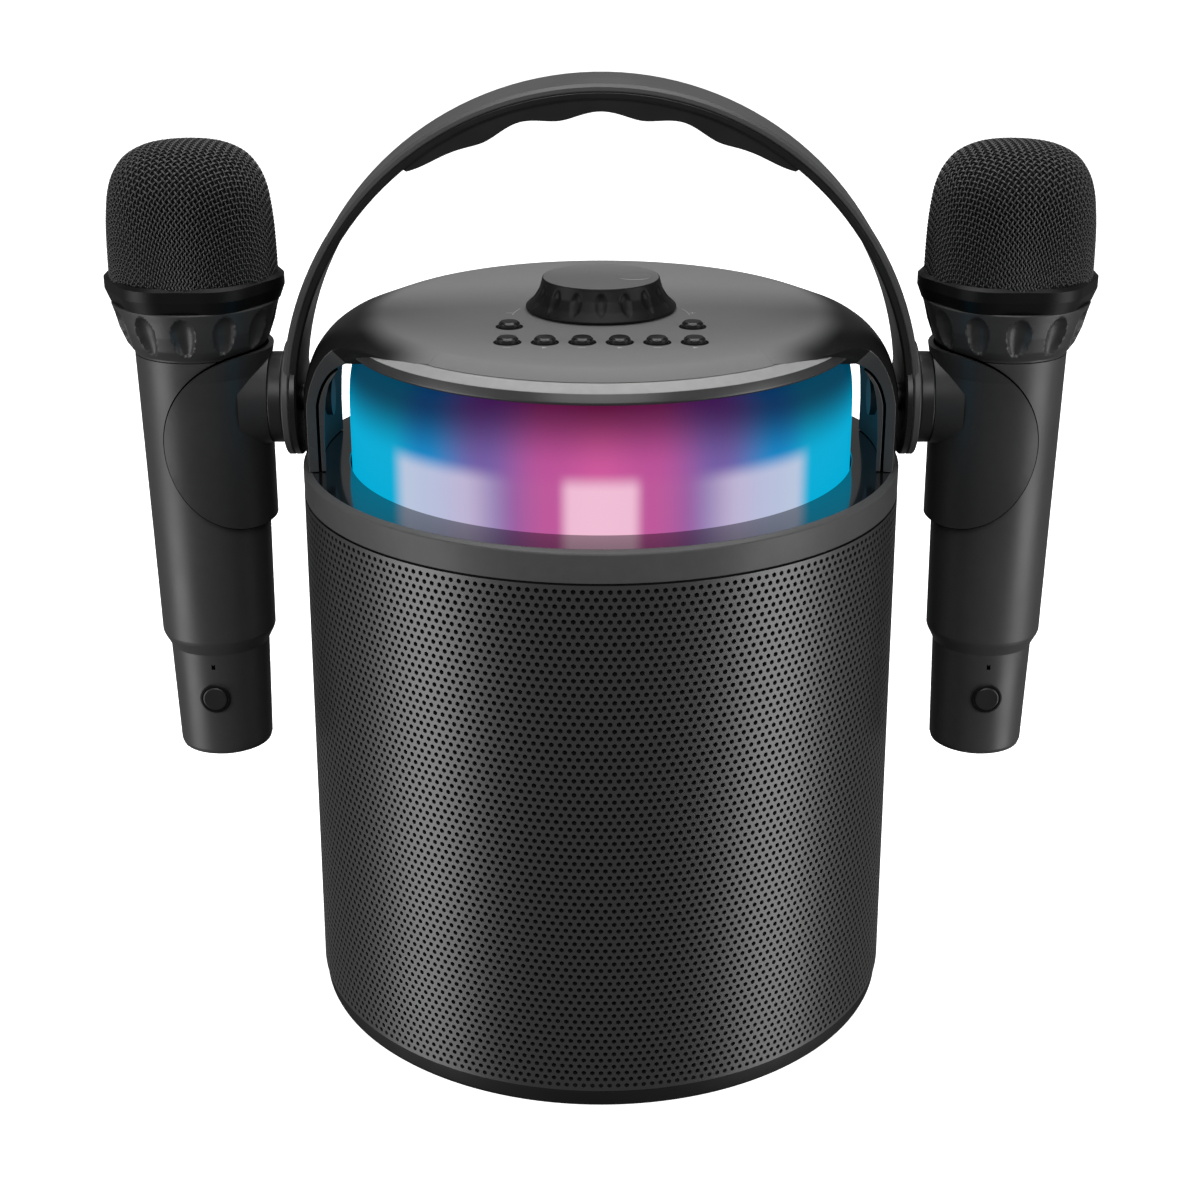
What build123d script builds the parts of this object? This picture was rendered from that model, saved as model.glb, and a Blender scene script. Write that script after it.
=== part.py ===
from build123d import *
from math import cos, radians, sin
import os

# Portable karaoke speaker with a fold-over carrying handle and two wireless
# microphones docked on swivelling clips at the handle's pivots.
# Millimetres. Origin at the middle of the underside, +Z up, front towards -Y.
# The microphones stand at +X and -X.

os.makedirs("parts", exist_ok=True)

# ---- driving dimensions -------------------------------------------------

SLEEVE_R_TOP = 75.0          # perforated sleeve, slightly wider at the foot
SLEEVE_R_FOOT = 76.2
SLEEVE_WALL = 0.9
FOOT_H = 5.0                 # rubber foot rim under the sleeve
FOOT_R = 75.7
SLEEVE_TOP = 136.9
SHOULDER_Z = 137.3           # shoulder ring, above a thin shadow gap
SHOULDER_TOP = 145.0
LIGHT_R = 62.8               # diffuser drum
LIGHT_WALL = 2.5
LEDGE_Z = 142.5              # ledge that the diffuser stands on
LIGHT_TOP = 174.5
COVER_SEAM_Z = 179.0         # joint between trim ring and top cover
COVER_R = 59.6
COVER_TOP = 181.6

PIVOT_Z = 159.0              # handle and microphone clips turn on this axis
PIN_R = 3.5
PIN_CLEARANCE = 0.06
ARM_HALF_WIDTH = 19.0
ARM_SKIN = 1.6
HANDLE_R_OUT = 78.4
HANDLE_R_SEAM = 76.6
HANDLE_R_IN = 74.8
HANDLE_HALF_WIDTH = 11.5
LOBE_R = 14.4
GRIP_HALF_WIDTH = 10.4
COLLAR_R = 11.4
COLLAR_X = (78.8, 82.4)      # clip collar, from the handle lobe outwards
CLIP_CENTRE = (85.0, 150.4)  # round outline of the clip, seen from the front
CLIP_OUTLINE_R = 22.4

MIC_X = 100.0                # microphone axis from the middle of the speaker
MIC_FOOT = 64.5
TUBE_FOOT = 93.5             # main tube starts with a chamfer here
CHAMFER_TOP = 97.5
CUP_FOOT = 171.5
RING_FOOT = 184.6
RING_FLANGE = 187.6          # the anti-roll ring widens up to here
RING_TOP = 191.0
RING_CORNER_R = 23.9         # its six sides meet here before rounding
RING_ROUNDING = 12.0
CUP_FLUTES = 12
MIC_TOP = 222.5
MIC_BUTTON_Z = 81.5
MIC_BUTTON_R = 3.2

KNOB_R_FOOT = 18.6
KNOB_R_TOP = 14.4
KNOB_FOOT = 182.0
KNOB_TOP = 189.6
KNOB_FLUTES = 16             # one of them faces the front
BUTTON_R = 2.6
BUTTON_GAP = 0.35
BUTTON_TRAVEL = 0.5
BUTTON_TOP = 183.1

CELL_R = 9.1                 # 18650 lithium cell
CELL_H = 65.0

SIDES = (("left", -1), ("right", 1))

button_places = [(x * 4.35, -33.6) for x in (-5, -3, -1, 1, 3, 5)]
button_places += [(-21.9, -18.7), (21.9, -18.7)]


# ---- helpers ------------------------------------------------------------

def outline(points, plane=Plane.XZ):
    """Closed face through straight lines, in the given plane."""
    with BuildSketch(plane) as face:
        with BuildLine():
            Polyline(*points, close=True)
        make_face()
    return face.sketch


def upright(x):
    """XZ plane whose own origin is on the vertical axis through x."""
    return Plane(origin=(x, 0, 0), x_dir=(1, 0, 0), z_dir=(0, -1, 0))


def upright_axis(x):
    return Axis((x, 0, 0), (0, 0, 1))


def across(x, z=PIVOT_Z):
    """YZ plane at x, for round pieces on the pivot axis, extruding to +X."""
    return Plane(origin=(x, 0, z), x_dir=(0, 1, 0), z_dir=(1, 0, 0))


def save(piece, name):
    piece.part.label = name
    export_step(piece.part, f"parts/{name}.step")


# ---- foot, tray and sleeve ----------------------------------------------

TRAY_R = 62.0
TRAY_FLOOR = 2.0
TRAY_TOP = 8.0
POST_AT = 55.0               # posts that carry the cabinet
SCREW_R = 1.5

with BuildPart() as base_rim:
    foot = [(TRAY_R, 0), (FOOT_R - 1.2, 0), (FOOT_R, 1.2), (FOOT_R, FOOT_H), (TRAY_R, FOOT_H)]
    revolve(outline(foot), axis=Axis.Z)
save(base_rim, "base_rim")

with BuildPart() as base_tray:
    tray = [(0, TRAY_FLOOR), (TRAY_R, TRAY_FLOOR), (TRAY_R, FOOT_H), (74, FOOT_H), (74, 11),
            (72.5, 11), (72.5, TRAY_TOP), (30, TRAY_TOP), (16, 13), (6, 25), (0, 26)]
    revolve(outline(tray), axis=Axis.Z)
    with BuildSketch(Plane.XY.offset(TRAY_FLOOR)):
        with PolarLocations(POST_AT, 4, start_angle=45):
            Circle(3.1)
    extrude(amount=2.5, mode=Mode.SUBTRACT)
    with BuildSketch(Plane.XY.offset(TRAY_FLOOR)):
        with PolarLocations(POST_AT, 4, start_angle=45):
            Circle(SCREW_R + 0.1)
    extrude(amount=TRAY_TOP, mode=Mode.SUBTRACT)
save(base_tray, "base_tray")

with BuildPart() as screws:
    with BuildSketch(Plane.XY.offset(TRAY_FLOOR + 0.2)):
        with PolarLocations(POST_AT, 4, start_angle=45):
            Circle(2.9)
    extrude(amount=2.3)
    with BuildSketch(Plane.XY.offset(TRAY_FLOOR + 2.5)):
        with PolarLocations(POST_AT, 4, start_angle=45):
            Circle(SCREW_R)
    extrude(amount=13.5)
    with BuildSketch(Plane.XY.offset(TRAY_FLOOR + 0.2)):
        with PolarLocations(POST_AT, 4, start_angle=45):
            Rectangle(3.6, 0.9)
            Rectangle(0.9, 3.6)
    extrude(amount=1.2, mode=Mode.SUBTRACT)
save(screws, "base_screws")

PANEL_HALF = 22.0            # rear socket panel
PANEL_Z = (58.0, 80.0)
PANEL_BACK = 66.5
PANEL_MID = sum(PANEL_Z) / 2
PANEL_H = PANEL_Z[1] - PANEL_Z[0]

with BuildPart() as speaker_grille:
    sleeve = [(SLEEVE_R_FOOT - SLEEVE_WALL, FOOT_H), (SLEEVE_R_FOOT, FOOT_H),
              (SLEEVE_R_TOP, SLEEVE_TOP), (SLEEVE_R_TOP - SLEEVE_WALL, SLEEVE_TOP)]
    revolve(outline(sleeve), axis=Axis.Z)
    with BuildSketch(Plane.XZ.offset(-PANEL_BACK)):
        with Locations((0, PANEL_MID)):
            Rectangle(2 * PANEL_HALF, PANEL_H)
    extrude(amount=-20, mode=Mode.SUBTRACT)
save(speaker_grille, "speaker_grille")

# ---- cabinet, woofer, cells and main board ------------------------------

CABINET_R = 69.0
CABINET_WALL = 3.0
CABINET_FLOOR = 48.0
CABINET_TOP = 139.5
WOOFER_HOLE_R = 38.0
BOARD_Z = 122.0

with BuildPart() as cabinet:
    inner_r = CABINET_R - CABINET_WALL
    shell = [(WOOFER_HOLE_R, CABINET_FLOOR), (CABINET_R, CABINET_FLOOR), (CABINET_R, CABINET_TOP),
             (0, CABINET_TOP), (0, CABINET_TOP - 3), (inner_r, CABINET_TOP - 3),
             (inner_r, CABINET_FLOOR + 3), (WOOFER_HOLE_R, CABINET_FLOOR + 3)]
    revolve(outline(shell), axis=Axis.Z)
    with BuildSketch(Plane.XY.offset(TRAY_TOP)):
        with PolarLocations(POST_AT, 4, start_angle=45):
            Circle(3.5)
    extrude(amount=CABINET_FLOOR - TRAY_TOP)
    with BuildSketch(Plane.XY.offset(TRAY_TOP)):
        with PolarLocations(POST_AT, 4, start_angle=45):
            Circle(SCREW_R)
    extrude(amount=10, mode=Mode.SUBTRACT)
    with BuildSketch(Plane.XY.offset(BOARD_Z + 1.6)):
        with PolarLocations(50, 4):
            Circle(3)
    extrude(amount=CABINET_TOP - 3 - BOARD_Z - 1.6)
    with BuildSketch(Plane.XZ.offset(-PANEL_BACK)):
        with Locations((0, PANEL_MID)):
            Rectangle(2 * PANEL_HALF, PANEL_H)
    extrude(amount=-20, mode=Mode.SUBTRACT)
    with BuildSketch(Plane.XZ.offset(-58)):
        with Locations((0, PANEL_MID)):
            Rectangle(32, 16)
    extrude(amount=-12, mode=Mode.SUBTRACT)
save(cabinet, "cabinet")

with BuildPart() as woofer_frame:
    basket = [(35.5, 45), (44, 45), (44, 48), (37.6, 48), (37.4, 50), (25, 72), (25, 74),
              (8, 74), (8, 72), (23, 72), (35.5, 49.5)]
    revolve(outline(basket), axis=Axis.Z)
    with BuildSketch(Plane.XY.offset(60)):
        with PolarLocations(31, 6):
            Circle(5.5)
    extrude(amount=10, mode=Mode.SUBTRACT)
save(woofer_frame, "woofer_frame")

with BuildPart() as woofer_cone:
    cone = [(35.5, 46), (34.5, 46), (33, 44.4), (31, 46), (20, 57), (13, 61), (0, 58.5),
            (0, 59.7), (12.6, 62.2), (12.6, 71.8), (13.6, 71.8), (13.6, 62), (20.7, 58),
            (31.4, 47.2), (33, 45.8), (34, 47.2), (35.5, 47.2)]
    revolve(outline(cone), axis=Axis.Z)
save(woofer_cone, "woofer_cone")

with BuildPart() as woofer_magnet:
    magnet = [(8, 74), (27, 74), (28, 75), (28, 87), (27, 88), (8, 88)]
    revolve(outline(magnet), axis=Axis.Z)
save(woofer_magnet, "woofer_magnet")

with BuildPart() as speaker_cells:
    with BuildSketch(Plane.XY.offset(CABINET_FLOOR + 3)):
        with Locations((-53, 0), (53, 0)):
            Circle(CELL_R)
    extrude(amount=CELL_H)
save(speaker_cells, "speaker_cells")

with BuildPart() as main_board:
    with BuildSketch(Plane.XY.offset(BOARD_Z)):
        Circle(60)
        with PolarLocations(56, 6, start_angle=30):
            Circle(1.7, mode=Mode.SUBTRACT)
    extrude(amount=1.6)
    with BuildSketch(Plane.XY.offset(BOARD_Z)):
        with Locations((-22, 8), (18, -20), (20, 22), (-10, -28)):
            Rectangle(13, 11)
    extrude(amount=-4)
save(main_board, "main_board")

# ---- rear socket panel ---------------------------------------------------

USB_X = -9.0
AUX_X = 9.0
AUX_R = 1.8                  # 3.5 mm jack
AUX_DEPTH = 12.0
SOCKET_FACE = 74.6

with BuildPart() as port_panel:
    with BuildSketch(Plane.XZ.offset(-PANEL_BACK)):
        with Locations((0, PANEL_MID)):
            Rectangle(2 * PANEL_HALF, PANEL_H)
    extrude(amount=-20)
    with BuildSketch(Plane.XY.offset(PANEL_Z[0] - 1)):
        Circle(SLEEVE_R_TOP + 0.9)
    extrude(amount=PANEL_H + 2, mode=Mode.INTERSECT)
    with BuildSketch(Plane.XZ.offset(-PANEL_BACK)):
        with Locations((USB_X, PANEL_MID)):
            Rectangle(9.6, 3.8)
        with Locations((AUX_X, PANEL_MID)):
            Circle(3.05)
    extrude(amount=-20, mode=Mode.SUBTRACT)
save(port_panel, "port_panel")

with BuildPart() as port_sockets:
    with BuildSketch(Plane.XZ.offset(-62)):
        with Locations((USB_X, PANEL_MID)):
            RectangleRounded(9.2, 3.5, 1.7)
    extrude(amount=-(SOCKET_FACE - 62))
    with BuildSketch(Plane.XZ.offset(-66)):
        with Locations((USB_X, PANEL_MID)):
            RectangleRounded(8.4, 2.7, 1.3)
            Rectangle(6.6, 0.7, mode=Mode.SUBTRACT)
    extrude(amount=-10, mode=Mode.SUBTRACT)
    with BuildSketch(Plane.XZ.offset(-(SOCKET_FACE - 14))):
        with Locations((AUX_X, PANEL_MID)):
            Circle(3.0)
    extrude(amount=-14)
    with BuildSketch(Plane.XZ.offset(-(SOCKET_FACE - AUX_DEPTH))):
        with Locations((AUX_X, PANEL_MID)):
            Circle(AUX_R)
    extrude(amount=-AUX_DEPTH, mode=Mode.SUBTRACT)
save(port_sockets, "port_sockets")

# ---- shoulder, light drum and what is inside it --------------------------

with BuildPart() as shoulder_ring:
    shoulder = [(SLEEVE_R_TOP, SHOULDER_Z), (SLEEVE_R_TOP, 143.5), (74.6, 144.3), (73.5, SHOULDER_TOP),
                (LIGHT_R + 0.4, 144.7), (LIGHT_R + 0.4, LEDGE_Z), (50, LEDGE_Z), (50, CABINET_TOP),
                (72.6, CABINET_TOP), (72.6, SHOULDER_Z)]
    revolve(outline(shoulder), axis=Axis.Z)
save(shoulder_ring, "shoulder_ring")

with BuildPart() as light_diffuser:
    inner_r = LIGHT_R - LIGHT_WALL
    drum = [(inner_r, LEDGE_Z), (LIGHT_R, LEDGE_Z), (LIGHT_R, LIGHT_TOP - 3), (61.9, LIGHT_TOP - 0.9),
            (59.8, LIGHT_TOP), (54, LIGHT_TOP), (54, LIGHT_TOP - 2.2), (inner_r - 2, LIGHT_TOP - 2.2),
            (inner_r, LIGHT_TOP - 4)]
    revolve(outline(drum), axis=Axis.Z)
save(light_diffuser, "light_diffuser")

CORE_R = 45.0
CONTROL_Z = 175.0

with BuildPart() as reflector_core:
    core = [(CORE_R - 3, CABINET_TOP), (CORE_R, CABINET_TOP), (CORE_R, CONTROL_Z), (36, CONTROL_Z),
            (36, CONTROL_Z - 2), (CORE_R - 3, CONTROL_Z - 2)]
    revolve(outline(core), axis=Axis.Z)
save(reflector_core, "reflector_core")

with BuildPart() as led_ring_board:
    with BuildSketch(Plane.XY.offset(LEDGE_Z)):
        Circle(59.5)
        Circle(47, mode=Mode.SUBTRACT)
    extrude(amount=1.6)
save(led_ring_board, "led_ring_board")

with BuildPart() as led_chips:
    with BuildSketch(Plane.XY.offset(LEDGE_Z + 1.6)):
        with PolarLocations(55, 24):
            Rectangle(3.5, 3.5)
    extrude(amount=1.2)
save(led_chips, "led_chips")

# ---- top cover with its two side arms ------------------------------------

# Points of the arm's outer line as (r, z, direction its face looks, degrees up from level).
ARM_LINE = ((74.0, 160.0, 0), (72.5, 168.0, 21), (68.0, 175.5, 43), (62.0, 179.5, 66),
            (55.0, COVER_TOP, 90))


def arm_line(inset):
    """The arm's outer line moved inwards by inset, at right angles to the face."""
    return [(r - inset * cos(radians(a)), z - inset * sin(radians(a))) for r, z, a in ARM_LINE]


def trim_face():
    return outline([(50, LIGHT_TOP), (62.6, LIGHT_TOP), (63.2, 175.0), (62.9, 175.9), (62.0, 177.4),
                    (COVER_R, COVER_SEAM_Z), (50, COVER_SEAM_Z)])


def arm_skin_face():
    with BuildSketch(Plane.XZ) as skin:
        with BuildLine():
            outer = Spline(*arm_line(0), tangents=((0, 1), (-1, 0)))
            inner = Spline(*arm_line(ARM_SKIN), tangents=((0, 1), (-1, 0)))
            Line(outer @ 1, inner @ 1)
            Polyline(outer @ 0, (74.0, SHOULDER_TOP), (74.0 - ARM_SKIN, SHOULDER_TOP), inner @ 0)
        make_face()
    return skin.sketch


with BuildPart() as trim_ring:
    revolve(trim_face(), axis=Axis.Z)
save(trim_ring, "trim_ring")

with BuildPart() as top_cover:
    revolve(arm_skin_face(), axis=Axis.Z)
    with BuildSketch(Plane.XY.offset(SHOULDER_TOP)):
        Rectangle(160, 2 * ARM_HALF_WIDTH)
    extrude(amount=40, mode=Mode.INTERSECT)
    plate = [(0, COVER_SEAM_Z), (COVER_R, COVER_SEAM_Z), (58.6, 180.2), (57.2, 181.1), (55.0, COVER_TOP),
             (0, COVER_TOP)]
    revolve(outline(plate), axis=Axis.Z)
    revolve(trim_face(), axis=Axis.Z, mode=Mode.SUBTRACT)
    with BuildSketch(Plane.XY.offset(COVER_TOP)):
        Circle(4)
        with Locations(*button_places):
            Circle(BUTTON_R + BUTTON_GAP)
    extrude(amount=-6, mode=Mode.SUBTRACT)
    with BuildSketch(across(-80)):
        Circle(PIN_R)
    extrude(amount=160, mode=Mode.SUBTRACT)
save(top_cover, "top_cover")

for side, sign in SIDES:
    with BuildPart() as arm_lining:
        mid_skin = arm_line(ARM_SKIN / 2)[:4]
        lining = [(74.0 - ARM_SKIN, SHOULDER_TOP), (70.8, SHOULDER_TOP), (70.8, 158), (68.5, 166),
                  (63.4, 171.4), (63.4, mid_skin[-1][1] - 0.9)] + mid_skin[-2::-1]
        revolve(outline(lining), axis=Axis.Z)
        revolve(arm_skin_face(), axis=Axis.Z, mode=Mode.SUBTRACT)
        with BuildSketch(Plane.XY.offset(SHOULDER_TOP)):
            with Locations((sign * 60, 0)):
                Rectangle(60, 2 * ARM_HALF_WIDTH)
        extrude(amount=40, mode=Mode.INTERSECT)
        with BuildSketch(across(-80)):
            Circle(PIN_R)
        extrude(amount=160, mode=Mode.SUBTRACT)
    save(arm_lining, f"{side}_arm_lining")

PIN_HEAD_X = 67.2
PIN_HEAD_R = 4.6
PIN_HEAD_H = 1.6

with BuildPart() as pivot_pins:
    for side, sign in SIDES:
        with BuildSketch(across(sign * PIN_HEAD_X)):
            Circle(PIN_HEAD_R)
        extrude(amount=sign * PIN_HEAD_H)
        with BuildSketch(across(sign * PIN_HEAD_X)):
            Circle(PIN_R)
        extrude(amount=sign * (COLLAR_X[1] - 0.5 - PIN_HEAD_X))
save(pivot_pins, "pivot_pins")

# ---- control board, switches and volume encoder ---------------------------

SWITCH_TOP = COVER_SEAM_Z - 1.6

with BuildPart() as control_board:
    with BuildSketch(Plane.XY.offset(CONTROL_Z)):
        Circle(41)
    extrude(amount=1.4)
save(control_board, "control_board")

with BuildPart() as control_switches:
    with BuildSketch(Plane.XY.offset(CONTROL_Z + 1.4)):
        with Locations(*button_places):
            Rectangle(5, 5)
    extrude(amount=0.5)
    with BuildSketch(Plane.XY.offset(CONTROL_Z + 1.9)):
        with Locations(*button_places):
            Circle(1.5)
    extrude(amount=SWITCH_TOP - CONTROL_Z - 1.9)
    # the volume encoder and its shaft
    with BuildSketch(Plane.XY.offset(CONTROL_Z + 1.4)):
        Rectangle(12, 12)
    extrude(amount=COVER_SEAM_Z - CONTROL_Z - 1.6)
    with BuildSketch(Plane.XY.offset(CONTROL_Z + 1.4)):
        Circle(3)
    extrude(amount=KNOB_TOP - 2.4 - CONTROL_Z - 1.4)
save(control_switches, "control_switches")

# ---- volume knob and push buttons ----------------------------------------

with BuildPart() as volume_knob:
    skirt = [(12, KNOB_FOOT), (KNOB_R_FOOT, KNOB_FOOT), (KNOB_R_FOOT, 182.5), (16.6, 184.4),
             (15.4, 186.4), (14.7, 188.4), (KNOB_R_TOP + 0.1, 189.3), (KNOB_R_TOP - 0.2, KNOB_TOP),
             (0, KNOB_TOP), (0, KNOB_TOP - 2.0), (3 + PIN_CLEARANCE, KNOB_TOP - 2.0),
             (3 + PIN_CLEARANCE, 184), (12, 184)]
    revolve(outline(skirt), axis=Axis.Z)
    flute = Cylinder(radius=1.25, height=4.6, mode=Mode.PRIVATE)
    for step in range(KNOB_FLUTES):
        turn = Rot(0, 0, step * 360 / KNOB_FLUTES - 90)
        add(turn * Pos(16.45, 0, 186.2) * Rot(0, -13, 0) * flute, mode=Mode.SUBTRACT)
    with Locations((8.6, 0, KNOB_TOP + 9.0)):
        Sphere(10.0, mode=Mode.SUBTRACT)
save(volume_knob, "volume_knob")

for number, (x, y) in enumerate(button_places, start=1):
    with BuildPart() as push_button:
        with BuildSketch(Plane.XY.offset(SWITCH_TOP + BUTTON_TRAVEL + 0.1)):
            with Locations((x, y)):
                Circle(BUTTON_R)
        extrude(amount=BUTTON_TOP - SWITCH_TOP - BUTTON_TRAVEL - 0.1)
        fillet(push_button.faces().sort_by(Axis.Z)[-1].edges(), 0.4)
    save(push_button, f"push_button_{number}")

# ---- carrying handle ------------------------------------------------------

PIVOT_LINE = Axis((0, 0, PIVOT_Z), (0, -1, 0))


def strap_section(r_in, r_out, cut_in, cut_out):
    """Section of a strap at +X, with its two pairs of edges cut back."""
    w = HANDLE_HALF_WIDTH
    half = [(r_in, -w + cut_in), (r_in + cut_in, -w), (r_out - cut_out, -w), (r_out, -w + cut_out)]
    mirrored = [(r, -y) for r, y in reversed(half)]
    return outline(half + mirrored, Plane.XY.offset(PIVOT_Z))


straps = (("handle_outer_strap", HANDLE_R_SEAM, HANDLE_R_OUT, 0.3, 0.7, HANDLE_R_SEAM),
          ("handle_inner_strap", HANDLE_R_IN, HANDLE_R_SEAM, 0.5, 0.3, HANDLE_R_IN - 0.2))
for strap_name, r_in, r_out, cut_in, cut_out, lobe_in in straps:
    with BuildPart() as strap:
        revolve(strap_section(r_in, r_out, cut_in, cut_out), axis=PIVOT_LINE, revolution_arc=180)
        for side, sign in SIDES:
            hole_z = PIVOT_Z + PIN_R + PIN_CLEARANCE
            rim_z = PIVOT_Z + LOBE_R
            lobe = [(lobe_in, hole_z), (lobe_in, rim_z - cut_in), (lobe_in + cut_in, rim_z),
                    (r_out - 0.3, rim_z), (r_out, rim_z - 0.3), (r_out, hole_z)]
            revolve(outline([(sign * x, z) for x, z in lobe]), axis=Axis((0, 0, PIVOT_Z), (1, 0, 0)))
        with BuildSketch(across(-80)):
            Circle(PIN_R + PIN_CLEARANCE)
        extrude(amount=160, mode=Mode.SUBTRACT)
        if strap_name == "handle_inner_strap":
            room = [(r_out, -14.5), (r_out + 4, -14.5), (r_out + 4, 14.5), (r_out, 14.5)]
            revolve(outline(room, Plane.XY.offset(PIVOT_Z)), axis=PIVOT_LINE, revolution_arc=180,
                    mode=Mode.SUBTRACT)
    save(strap, strap_name)

# Finger scallops of the grip as (degrees from the top, radius about the pivot line).
GRIP_LINE = [(38.5, 74.0), (36.0, 72.9), (31.0, 72.0), (26.8, 71.1), (23.2, 70.4), (19.4, 71.2),
             (15.5, 72.0), (11.6, 71.2), (7.9, 70.4), (4.0, 71.2), (0.0, 71.9)]


def grip_point(degrees, r):
    return (r * sin(radians(degrees)), PIVOT_Z + r * cos(radians(degrees)))


with BuildPart() as handle_grip:
    with BuildSketch(Plane.XZ.offset(-GRIP_HALF_WIDTH)):
        with BuildLine():
            scallops = GRIP_LINE + [(-a, r) for a, r in reversed(GRIP_LINE[:-1])]
            under = Spline(*[grip_point(a, r) for a, r in scallops])
            Line(under @ 0, grip_point(38.7, HANDLE_R_IN))
            Line(under @ 1, grip_point(-38.7, HANDLE_R_IN))
            ThreePointArc(grip_point(38.7, HANDLE_R_IN), grip_point(0, HANDLE_R_IN),
                          grip_point(-38.7, HANDLE_R_IN))
        make_face()
    extrude(amount=2 * GRIP_HALF_WIDTH)
save(handle_grip, "handle_grip")

# ---- microphone clips -------------------------------------------------------

MIC_GAP = 0.4                # free space between clip and microphone


def mic_clearance(x):
    return outline([(0, 120), (15.0 + MIC_GAP, 120), (15.1 + MIC_GAP, 128), (15.72 + MIC_GAP, 168),
                    (17.3, 173.5), (17.3, 176), (0, 176)], upright(x))


for side, sign in SIDES:
    mic_x = sign * MIC_X

    with BuildPart() as clip_collar:
        with BuildSketch(across(sign * COLLAR_X[0])):
            Circle(COLLAR_R)
            Circle(PIN_R + PIN_CLEARANCE, mode=Mode.SUBTRACT)
        extrude(amount=sign * (COLLAR_X[1] - COLLAR_X[0]))
        outer_rims = clip_collar.edges().filter_by(GeomType.CIRCLE)
        fillet(outer_rims.filter_by(lambda e: e.radius > COLLAR_R - 1), 0.5)
    save(clip_collar, f"{side}_clip_collar")

    with BuildPart() as mic_clip:
        shell = [(0, 126), (17.0, 126), (17.2, 160), (17.4, 167), (18.6, 173.5), (0, 173.5)]
        revolve(outline(shell, upright(mic_x)), axis=upright_axis(mic_x))
        with BuildSketch(Plane.XZ.offset(-25)):
            with Locations((sign * CLIP_CENTRE[0], CLIP_CENTRE[1])):
                Circle(CLIP_OUTLINE_R)
        extrude(amount=50, mode=Mode.INTERSECT)
        with BuildSketch(across(sign * COLLAR_X[1])):
            Circle(COLLAR_R)
        with BuildSketch(across(sign * 89)):
            Circle(COLLAR_R + 2.6)
        loft()
        revolve(mic_clearance(mic_x), axis=upright_axis(mic_x), mode=Mode.SUBTRACT)
        with BuildSketch(across(sign * COLLAR_X[0])):
            Circle(COLLAR_R + 0.3)
        extrude(amount=sign * (COLLAR_X[1] - COLLAR_X[0]), mode=Mode.SUBTRACT)
    save(mic_clip, f"{side}_mic_clip")

# ---- microphones ------------------------------------------------------------

SLEEVE_BORE = 10.3
SPIGOT_R = 11.4
TUBE_BORE = 13.2

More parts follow.
